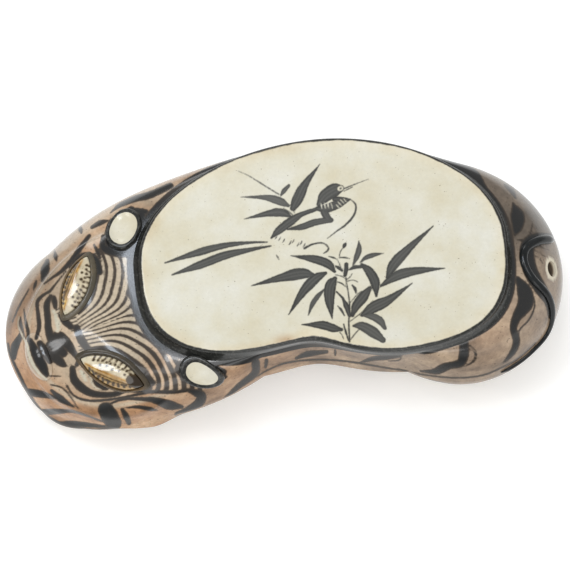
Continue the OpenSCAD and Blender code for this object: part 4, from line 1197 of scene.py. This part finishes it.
# materials, bodies and the nodes they stand for
pieces = [
    (baseSlab, bareClay, "base_slab", "bare_stoneware"),
    (lowerBody, bodyGlaze, "lower_body", "russet_body"),
    (upperBody, bodyGlaze, "upper_body", "russet_body"),
    (headrestSlab, whiteGlaze, "headrest_slab", "white_slip"),
    (leftEar, whiteGlaze, "left_ear", "white_slip"),
    (rightEar, whiteGlaze, "right_ear", "white_slip"),
    (leftEyeball, eyeGlaze, "left_eyeball", "white_slip"),
    (rightEyeball, eyeGlaze, "right_eyeball", "white_slip"),
    (leftEyelid, blackGlaze, "left_eyelid", "black_slip"),
    (rightEyelid, blackGlaze, "right_eyelid", "black_slip"),
    (nosePad, bodyGlaze, "nose_pad", "black_slip"),
    (tailCoil, blackGlaze, "tail_coil", "black_slip"),
]
for obj, glaze, nodeName, slotName in pieces:
    obj.data.materials.clear()
    obj.data.materials.append(glaze)
    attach(obj, "root")
    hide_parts(nodeName)
for nodeName in ("headrest_coil", "seam_coil", "base_coil"):
    for obj in bpy.data.objects:
        if obj.type == "MESH" and obj.name.split(".")[0] == nodeName:
            obj.data.materials.clear()
            obj.data.materials.append(bareClay)

# camera, light and floor
camera = bpy.data.objects.new("camera", bpy.data.cameras.new("camera"))
scene.collection.objects.link(camera)
camera.data.sensor_width = 36
camera.data.lens = camera.data.sensor_width * sheet["scale"] / sheet["wide"]
camera.data.clip_end = 20
offAcross, offDown = ((sheet[k] - sheet["wide"] / 2) / sheet["scale"] for k in ("across", "down"))
aim = unit(-toEye + sheetUp * offDown - np.array([1.0, 0, 0]) * offAcross)
camera.location = Vector(((toMiddle + toEye * sheet["away"]) * 0.001).tolist())
camera.rotation_euler = Vector(aim.tolist()).to_track_quat("-Z", "Y").to_euler()
scene.camera = camera


def softLamp(name, place, size, power, tint="FFFFFF", target=(0, 0, 0.05)):
    data = bpy.data.lights.new(name, "AREA")
    data.shape, data.size, data.energy, data.color = "DISK", size, power, linear(tint)[:3]
    lamp = bpy.data.objects.new(name, data)
    lamp.location = place
    lamp.rotation_euler = (Vector(target) - Vector(place)).to_track_quat("-Z", "Y").to_euler()
    scene.collection.objects.link(lamp)


softLamp("overheadLamp", (0.1, -0.55, 1.75), 1.1, 6.9)
softLamp("crownLamp", (-0.1, 0, 1.7), 0.22, 1.6)
softLamp("windowLamp", (-0.36, 0.16, 1.6), 0.42, 5.6, "E4EEFA")
softLamp("sideLamp", (-1.05, -0.2, 1.25), 0.4, 2.6)
softLamp("frontLamp", (0.3, -1.5, 0.55), 0.9, 3.6)
softLamp("backLamp", (-0.35, 1.2, 1.1), 0.6, 3.2)

world = bpy.data.worlds.new("studio")
scene.world = world
world.use_nodes = True
world.node_tree.nodes.clear()
sky = add(world.node_tree, "ShaderNodeBackground", None, {"Color": (1, 1, 1, 1), "Strength": 0.5})
add(world.node_tree, "ShaderNodeOutputWorld", None, {"Surface": sky.outputs[0]})


# matt white paper, so bright that only the contact shadow shows
def paperMaterial():
    made, tree = newMaterial("white_paper")
    path = add(tree, "ShaderNodeLightPath").outputs
    seen = path["Is Camera Ray"]
    for ray in ("Is Glossy Ray", "Is Transmission Ray"):
        seen = add(tree, "ShaderNodeMath", {"operation": "MAXIMUM"}, {0: seen, 1: path[ray]}).outputs[0]
    matt = add(tree, "ShaderNodeBsdfDiffuse", None, {"Color": linear("F4F4F2")})
    glow = add(tree, "ShaderNodeEmission", None, {"Color": (1, 1, 1, 1), "Strength": 0.3})
    dark = add(tree, "ShaderNodeEmission", None, {"Strength": 0.0})
    lift = add(tree, "ShaderNodeMixShader", None, {0: seen, 1: dark.outputs[0], 2: glow.outputs[0]})
    both = add(tree, "ShaderNodeAddShader", None, {0: matt.outputs[0], 1: lift.outputs[0]})
    add(tree, "ShaderNodeOutputMaterial", None, {"Surface": both.outputs[0]})
    return made


floorData = bpy.data.meshes.new("floor")
floorData.from_pydata([(-6, -6, 0), (6, -6, 0), (6, 6, 0), (-6, 6, 0)], [], [(0, 1, 2, 3)])
floor = bpy.data.objects.new("floor", floorData)
scene.collection.objects.link(floor)
floorData.materials.append(paperMaterial())

scene.view_settings.view_transform = "Standard"
print("scene ready")
